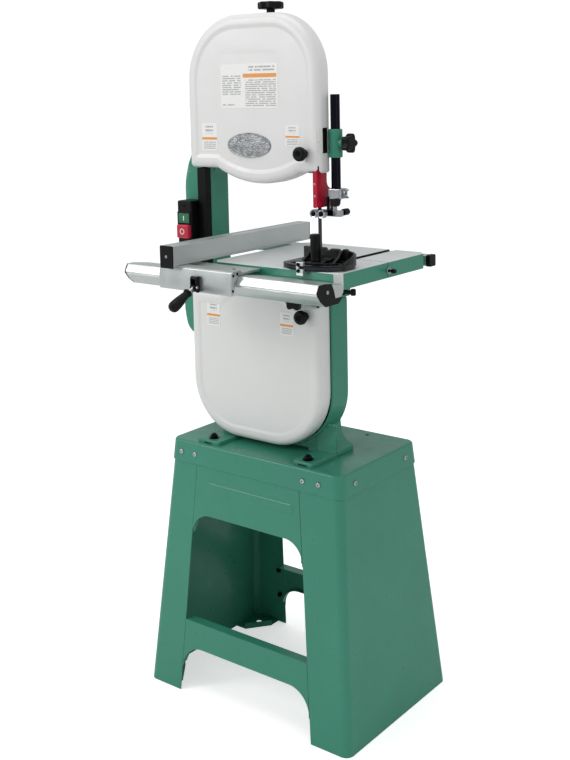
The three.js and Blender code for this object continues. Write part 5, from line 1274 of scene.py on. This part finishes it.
piece("table_lock_bar", lever, BLACK, "table_lock_lever", ["table_lock_lever"], smooth=40)

# ---------------------------------------------------------------- rails
rail_out = [(-331, 1109.4), (-310, 1109.4), (-256, 1101.8), (-250.6, 1096), (-250.6, 1083), (-255, 1069.5),
            (-266, 1061), (-311, 1061),
            (-327, 1073), (-338, 1087.2), (-336.6, 1088), (-336.6, 1090), (-339.6, 1090.4), (-339, 1095)]
rail_in = [(-327, 1105.4), (-311, 1105.4), (-262, 1098.5), (-262, 1086), (-266, 1073), (-271, 1066),
           (-308, 1066), (-323, 1077), (-333, 1091)]
rail = carve(prism(rail_out, "x", -220, 334), prism(rail_in, "x", -230, 344))
piece("front_rail_extrusion", rail, RAIL_METAL, "table", ["front_rail"], bevel=0.9, seg=3,
      smooth=30)
cap_out = rail_out[:10] + [(-339.6, 1092), (-339, 1095)]
for x0, x1, tag in ((334.2, 337.8, "right"), (-223.8, -220.2, "left")):
    piece(f"front_rail_cap_{tag}", prism(cap_out, "x", x0, x1), BLACK, "table", bevel=1.0)
gusset = prism([(-291, 1106), (-257, 1101.4), (-251, 1095), (-251, 1084), (-258, 1075), (-279, 1075),
                (-284, 1092)], "x", 337.9, 339.2)
piece("front_rail_gusset", gusset, FENCE_METAL, "table", bevel=0.5)
piece("front_rail_cap_screws", [screw("x", -306, 1091, 4.2, 337.8, 339.6),
                                screw("x", -306, 1091, 4.2, -223.8, -225.6)], STEEL,
      "table", smooth=50)
back_rail = carve(prism(rounded(112, 137, 1086, 1112, 3, 4), "x", -220, 322),
                  prism(rounded(115, 134, 1089, 1109, 2, 4), "x", -230, 330))
tabs = [box(TX0 + 20, TX0 + 60, TY1 + 0.3, 113, 1090, 1108),
        box(TX1 - 60, TX1 - 20, TY1 + 0.3, 113, 1090, 1108)]
piece("rear_rail_tube", [back_rail, *tabs], RAIL_METAL, "table", ["rear_rail"], bevel=0.7)
for x0, x1, tag in ((322.2, 334, "right"), (-228, -220.2, "left")):
    piece(f"rear_rail_cap_{tag}", prism(rounded(111, 138, 1085, 1113, 4, 5), "x", x0, x1), BLACK, "table",
          bevel=1.2, seg=3)
rail_bolts = [hex_head("y", x, 1098, 6, 137, 141) for x in (40, 190, 290)]
piece("rear_rail_bolts", rail_bolts, STEEL, "table", smooth=50)

# ---------------------------------------------------------------- fence
carriage = [(-352, 1118), (-349, 1121.4), (-322, 1121.4), (-318, 1115.6), (-253.4, 1115.6), (-253.4, 1110),
            (-331.5, 1110),
            (-340.2, 1095.2), (-340.4, 1087.4), (-345, 1080), (-347, 1070), (-350, 1067), (-354, 1069),
            (-355, 1090)]
window = prism([(-347, 1117), (-326, 1117), (-336, 1109.5), (-343, 1098)], "x", 60, 115)
body_c = carve(prism(carriage, "x", -96, 117), window)
piece("fence_carriage_extrusion", body_c, RAIL_METAL, "fence", ["fence_carriage"], bevel=0.7,
      seg=2)
end_plate = soften(prism([(-351.6, 1117.6), (-348.6, 1120.6), (-322.4, 1120.6), (-318.6, 1115.2),
                          (-300, 1114.8), (-331, 1110.6),
                          (-339, 1096), (-339.6, 1088), (-344.6, 1080), (-346.6, 1071), (-350, 1067.6),
                          (-353.6, 1070), (-354.6, 1090)],
                         "x", 117.1, 118.6), 0.5)
piece("fence_carriage_end_plate", end_plate, FENCE_METAL, "fence")
tips = [screw("x", y, z, 3.2, 118.4, 119.6) for y, z in ((-347.5, 1112), (-349.8, 1079), (-334, 1114.6))]
piece("fence_carriage_screws", tips, BLUED, "fence", smooth=50)
lattice = []
for k in range(4):
    y = -346.5 + 2.6 * k
    lattice.append(prism([(y, 1088 + 2.4 * k), (y + 1.2, 1088 + 2.4 * k), (y + 3.2, 1098 + 2.2 * k),
                          (y + 2.0, 1098 + 2.2 * k)],
                         "x", 118.4, 119.2))
piece("fence_carriage_lattice", lattice, STEEL, "fence")
window_glass = pillow(64, 90, -315, -301, 2, "z", 1112, 1115.2, 0.5)
piece("fence_pointer_window", window_glass, INSERT, "fence")
piece("fence_pointer_knob", screw("z", 84, -306, 4.6, 1115.2, 1119), BLACK, "fence", smooth=50)
piece("fence_pointer_screw", screw("z", 68, -308, 2.6, 1115.2, 1117), STEEL, "fence", smooth=50)

FX0, FX1 = -77.7, -39
tube_out = rounded(FX0, FX1, 1121.9, 1167.4, 1.6, 4)
beam = carve(prism(tube_out, "y", -366, 139), prism(rounded(FX0 + 3, FX1 - 3, 1124.9, 1164.4, 1, 3), "y",
                                                    -380, 150))
groove_top = box(FX0 + 9, FX0 + 13, -380, 150, 1165.9, 1172)
groove_side = box(FX1 - 1.0, FX1 + 1, -380, 150, 1125.5, 1127)
beam = carve(beam, groove_top, groove_side)
piece("fence_beam_tube", beam, FENCE_METAL, "fence", ["fence_beam"], bevel=0.5, seg=2,
      angle=50)
end_plug = [prism(rounded(FX0 - 0.2, FX1 + 0.2, 1116.9, 1167.6, 2.2, 4), "y", -369, -366.3),
            prism(rounded(FX0 + 3.4, FX1 - 3.4, 1125.3, 1164, 1, 3), "y", -367, -356)]
piece("fence_front_plug", end_plug, BLACK, "fence", ["fence_end_cap"], bevel=0.7)
piece("fence_rear_plug", prism(rounded(FX0 + 0.1, FX1 - 0.1, 1122.1, 1167.2, 2, 4), "y", 139.2, 141.5),
      BLACK, "fence",
      bevel=0.7)
piece("fence_plug_screw", screw("y", (FX0 + FX1) / 2, 1143, 3.4, -368.8, -370.4), STEEL, "fence",
      smooth=50)

lx, ly, lz = LOCK
block = carve(prism([(-355.7, 1105), (-363, 1105), (-366.6, 1101), (-367, 1073), (-364, 1069),
                     (-355.7, 1069)], "x", lx - 9.6, lx + 9.6),
              box(lx - 6.2, lx + 6.2, -380, -358.2, 1060, 1110))
cap_b = prism([(-358, 1099), (-358, 1105), (-364, 1105), (-366.4, 1101), (-366.4, 1099)], "x", lx - 6.4,
              lx + 6.4)
piece("fence_lock_yoke", [soften(block, 1.2, 2), soften(cap_b, 0.8, 2)], BLACK, "fence",
      ["fence_lock_block"])
piece("fence_lock_pin", screw("x", ly, lz, 3.4, lx + 9.4, lx + 11.2), STEEL, "fence", smooth=50)
grip = []
profile = [(0.1, -82.5), (5, -82.2), (9, -80.4), (11.6, -77), (12.8, -72), (12.6, -62), (11.6, -51),
           (10.2, -40), (9.2, -32),
           (8.4, -27), (8.0, -24)]
for r, d in profile:
    loop = []
    for i in range(72):
        t = 2 * math.pi * i / 72
        flute = 1 - 0.07 * max(0, math.cos(9 * t)) ** 2 * min(1, max(0, (r - 5) / 5))
        loop.append((lx + r * flute * math.cos(t), ly + d, lz + r * flute * math.sin(t)))
    grip.append(loop)
handle = [loft(grip), lathe([(0, ly - 25), (10, ly - 25), (10.6, ly - 23.6), (10.6, ly - 21),
                             (9.6, ly - 20), (0, ly - 20)], "y", lx, lz, 40),
          rod("x", ly, lz, 6.2, lx - 5.9, lx + 5.9, 28)]
handle = [turn(p, "X", (lx, ly, lz), LOCK_TILT) for p in handle]
piece("fence_lock_grip", handle, BLACK, "fence_lock_handle", ["fence_lock_handle"], smooth=45)
stem = turn(rod("y", lx, lz, 3.8, ly - 22, ly - 4, 24), "X", (lx, ly, lz), LOCK_TILT)
piece("fence_lock_stem", stem, STEEL, "fence_lock_handle", smooth=45)

# ---------------------------------------------------------------- miter gauge
TIP_Y = -264
HANDLE_Y = -204
bar = [soften(box(HEAD_X - 9.4, HEAD_X + 9.4, TIP_Y, -58, 1110.8, 1119.7), 0.8, 2),
       soften(carve(box(HEAD_X - 9.4, HEAD_X + 9.4, TIP_Y, TIP_Y + 7, 1117, 1140),
                    box(HEAD_X - 3, HEAD_X + 12, -270, -250, 1125, 1132)),
              1.0, 2),
       rod("z", HEAD_X, HEAD_Y, 4.6, 1118, 1128.7, 20)]
piece("miter_guide_bar", bar, FENCE_METAL, "miter_bar", ["miter_bar"], smooth=40)
piece("miter_stop_screws", [screw("y", HEAD_X - 3, z, 4.2, TIP_Y, TIP_Y - 3) for z in (1135, 1121)], BLUED,
      "miter_bar",
      smooth=50)
FAN_R = 106
fan_left, fan_right = (math.degrees(math.acos(w / FAN_R)) for w in (70, 84))
outline = ([(HEAD_X - 70, HEAD_Y)] + arc(HEAD_X, HEAD_Y, FAN_R, 180 + fan_left, 360 - fan_right, 48)
           + [(HEAD_X + 84, HEAD_Y - 30), (HEAD_X + 68, HEAD_Y)])
head = prism(outline, "z", 1120.4, 1132)


def pocket(outer, inner, a, b, outer_steps, inner_steps):
    ring = arc(HEAD_X, HEAD_Y, outer, a, b, outer_steps) + arc(HEAD_X, HEAD_Y, inner, b, a, inner_steps)
    return prism(ring, "z", 1126, 1140)


head = carve(head, pocket(96, 72, 236, 318, 40, 30), pocket(64, 20, 205, 250, 12, 8),
             pocket(64, 20, 290, 335, 12, 8),
             rod("z", HEAD_X, HEAD_Y, 5, 1110, 1130))
soften(head, 1.0, 2, 40)
crest = [(HEAD_X - 70, 1120.4), (HEAD_X + 52, 1120.4), (HEAD_X + 52, 1150), (HEAD_X + 46, 1157),
         (HEAD_X + 38, 1157), (HEAD_X + 35, 1153),
         (HEAD_X + 27, 1153), (HEAD_X + 24, 1156), (HEAD_X + 4, 1156), (HEAD_X + 1, 1152),
         (HEAD_X - 8, 1152), (HEAD_X - 12, 1157),
         (HEAD_X - 70, 1157)]
face_plate = soften(prism(crest, "y", HEAD_Y - 5.5, HEAD_Y + 5.5), 1.4, 3)
face_plate = carve(face_plate, rod("z", HEAD_X, HEAD_Y, 5, 1110, 1130))
braces = []
for dx in (-50, 34):
    wedge = [(HEAD_Y - 42, 1128), (HEAD_Y - 2, 1128), (HEAD_Y - 2, 1152), (HEAD_Y - 9, 1152),
             (HEAD_Y - 20, 1140)]
    braces.append(soften(prism(wedge, "x", HEAD_X + dx - 3.5, HEAD_X + dx + 3.5), 1.2, 2))
# curved wall closing the fan on the far side, falling towards the front
wall_path = [(48, 1, 1154), (60, 0, 1152), (70, -6, 1150), (77, -16, 1149), (80.5, -30, 1147),
             (80.5, -46, 1142), (78, -58, 1135)]
wall_loops = []
for i, (x, y, z) in enumerate(wall_path):
    ax, ay, _ = wall_path[max(i - 1, 0)]
    bx, by, _ = wall_path[min(i + 1, len(wall_path) - 1)]
    k = 3.2 / math.hypot(bx - ax, by - ay)
    nx, ny = -(by - ay) * k, (bx - ax) * k
    wall_loops.append([(HEAD_X + x - nx, HEAD_Y + y - ny, 1126), (HEAD_X + x + nx, HEAD_Y + y + ny, 1126),
                       (HEAD_X + x + nx, HEAD_Y + y + ny, z), (HEAD_X + x - nx, HEAD_Y + y - ny, z)])
fan_wall = soften(loft(wall_loops), 1.0, 2)
hubs = [lathe([(5, 1123), (13, 1123), (13, 1133.6), (11.6, 1135), (5, 1135)], "z", HEAD_X, HEAD_Y - 6, 36),
        lathe([(0, 1124), (16, 1124), (16, 1131), (14, 1133), (0, 1133)], "z", HEAD_X, HANDLE_Y, 40)]
piece("miter_gauge_head", [head, face_plate, *braces, fan_wall, *hubs], BLACK_IRON, "miter_head",
      ["miter_head"],
      smooth=40)
scale_band = prism(arc(HEAD_X, HEAD_Y, FAN_R + 0.5, 236, 318, 48) + arc(HEAD_X, HEAD_Y, FAN_R + 0.1, 318,
    236, 48), "z", 1123.5, 1128.5)
scale_mat = surface("scale_plate", "#3c3f44", 0.4, metal=0.7, mottle=0.1, brush=((2, 2, 60), 0.02, 0.5))
piece("miter_scale_band", scale_band, scale_mat, "miter_head")
stem_m = lathe([(0, 1133.4), (10.6, 1133.4), (11.4, 1135), (11, 1139), (10.4, 1146), (11.2, 1154),
                (11.9, 1164), (12, 1186), (11.8, 1192),
                (11, 1194), (0, 1194)], "z", HEAD_X, HANDLE_Y, 56)
piece("miter_handle_grip", stem_m, BLACK, "miter_handle", ["miter_handle"], smooth=50)

# ---------------------------------------------------------------- stage, light and camera
floor = bpy.data.meshes.new("studio_floor")
floor.from_pydata([(u * FLOOR_HALF, v * FLOOR_HALF, 0) for u, v in ((-1, -1), (1, -1), (1, 1), (-1, 1))],
                  [], [(0, 1, 2, 3)])
floor_o = bpy.data.objects.new("studio_floor", floor)
floor_o.location = (0, 0, -0.0004)
floor.materials.append(FLOOR)
scene.collection.objects.link(floor_o)

world = bpy.data.worlds.new("studio")
scene.world = world
world.use_nodes = True
wt = world.node_tree
seen = wt.nodes["Background"]
seen.inputs[0].default_value = (1, 1, 1, 1)
seen.inputs[1].default_value = 1.02
soft = wt.nodes.new("ShaderNodeBackground")
soft.inputs[0].default_value = (0.97, 0.985, 1, 1)
soft.inputs[1].default_value = 0.58
path = wt.nodes.new("ShaderNodeLightPath")
blend = wt.nodes.new("ShaderNodeMixShader")
wt.links.new(path.outputs["Is Camera Ray"], blend.inputs[0])
wt.links.new(soft.outputs[0], blend.inputs[1])
wt.links.new(seen.outputs[0], blend.inputs[2])
wt.links.new(blend.outputs[0], wt.nodes["World Output"].inputs["Surface"])


def lamp(name, place, aim, size, power):
    data = bpy.data.lights.new(name, "AREA")
    data.shape = "RECTANGLE"
    data.size, data.size_y = size
    data.energy = power
    o = bpy.data.objects.new(name, data)
    scene.collection.objects.link(o)
    o.location = place
    o.rotation_mode = "QUATERNION"
    o.rotation_quaternion = (Vector(aim) - Vector(place)).to_track_quat("-Z", "Y")
    return o


lamp("key_left", (-2.4, -3.0, 2.6), (0, 0, 0.9), (1.2, 1.8), 46)
lamp("fill_right", (3.4, -1.0, 1.8), (0, 0, 0.9), (1.4, 2.2), 9)
lamp("top", (0, -0.4, 4.2), (0, 0, 0.9), (2.4, 2.4), 34)

# camera in the layout frame: position in mm, angles in degrees, lens in mm and vertical lens shift
CAM = (1690, -2168, 1522)
YAW, PITCH, ROLL = 38.10, 7.41, -1.18
LENS = 53.668
RISE = -0.19724
cam_data = bpy.data.cameras.new("camera")
cam = bpy.data.objects.new("camera", cam_data)
scene.collection.objects.link(cam)
scene.camera = cam
cam.location = TO_ROW @ Vector(CAM)
yaw, pitch, tilt = (math.radians(v) for v in (YAW, PITCH, ROLL))
back = Vector((math.sin(yaw) * math.cos(pitch), -math.cos(yaw) * math.cos(pitch), math.sin(pitch)))
across = Vector((math.cos(yaw), math.sin(yaw), 0))
up = back.cross(across)
r_axis = math.cos(tilt) * across + math.sin(tilt) * up
u_axis = math.cos(tilt) * up - math.sin(tilt) * across
cam.rotation_mode = "QUATERNION"
cam.rotation_quaternion = Matrix((r_axis, u_axis, back)).transposed().to_quaternion()
cam_data.sensor_width = 36
cam_data.lens = LENS
cam_data.clip_end = 100
# the lens is shifted only while the camera stands at this spot, so other views stay centred
drive = cam_data.driver_add("shift_y").driver
drive.type = "SCRIPTED"
var = drive.variables.new()
var.name = "x"
var.type = "SINGLE_PROP"
var.targets[0].id = cam
var.targets[0].data_path = "location[0]"
drive.expression = f"{RISE:.5f} if abs(x - {cam.location.x:.5f}) < 0.001 else 0.0"

scene.view_settings.view_transform = "Standard"
scene.view_settings.look = "None"
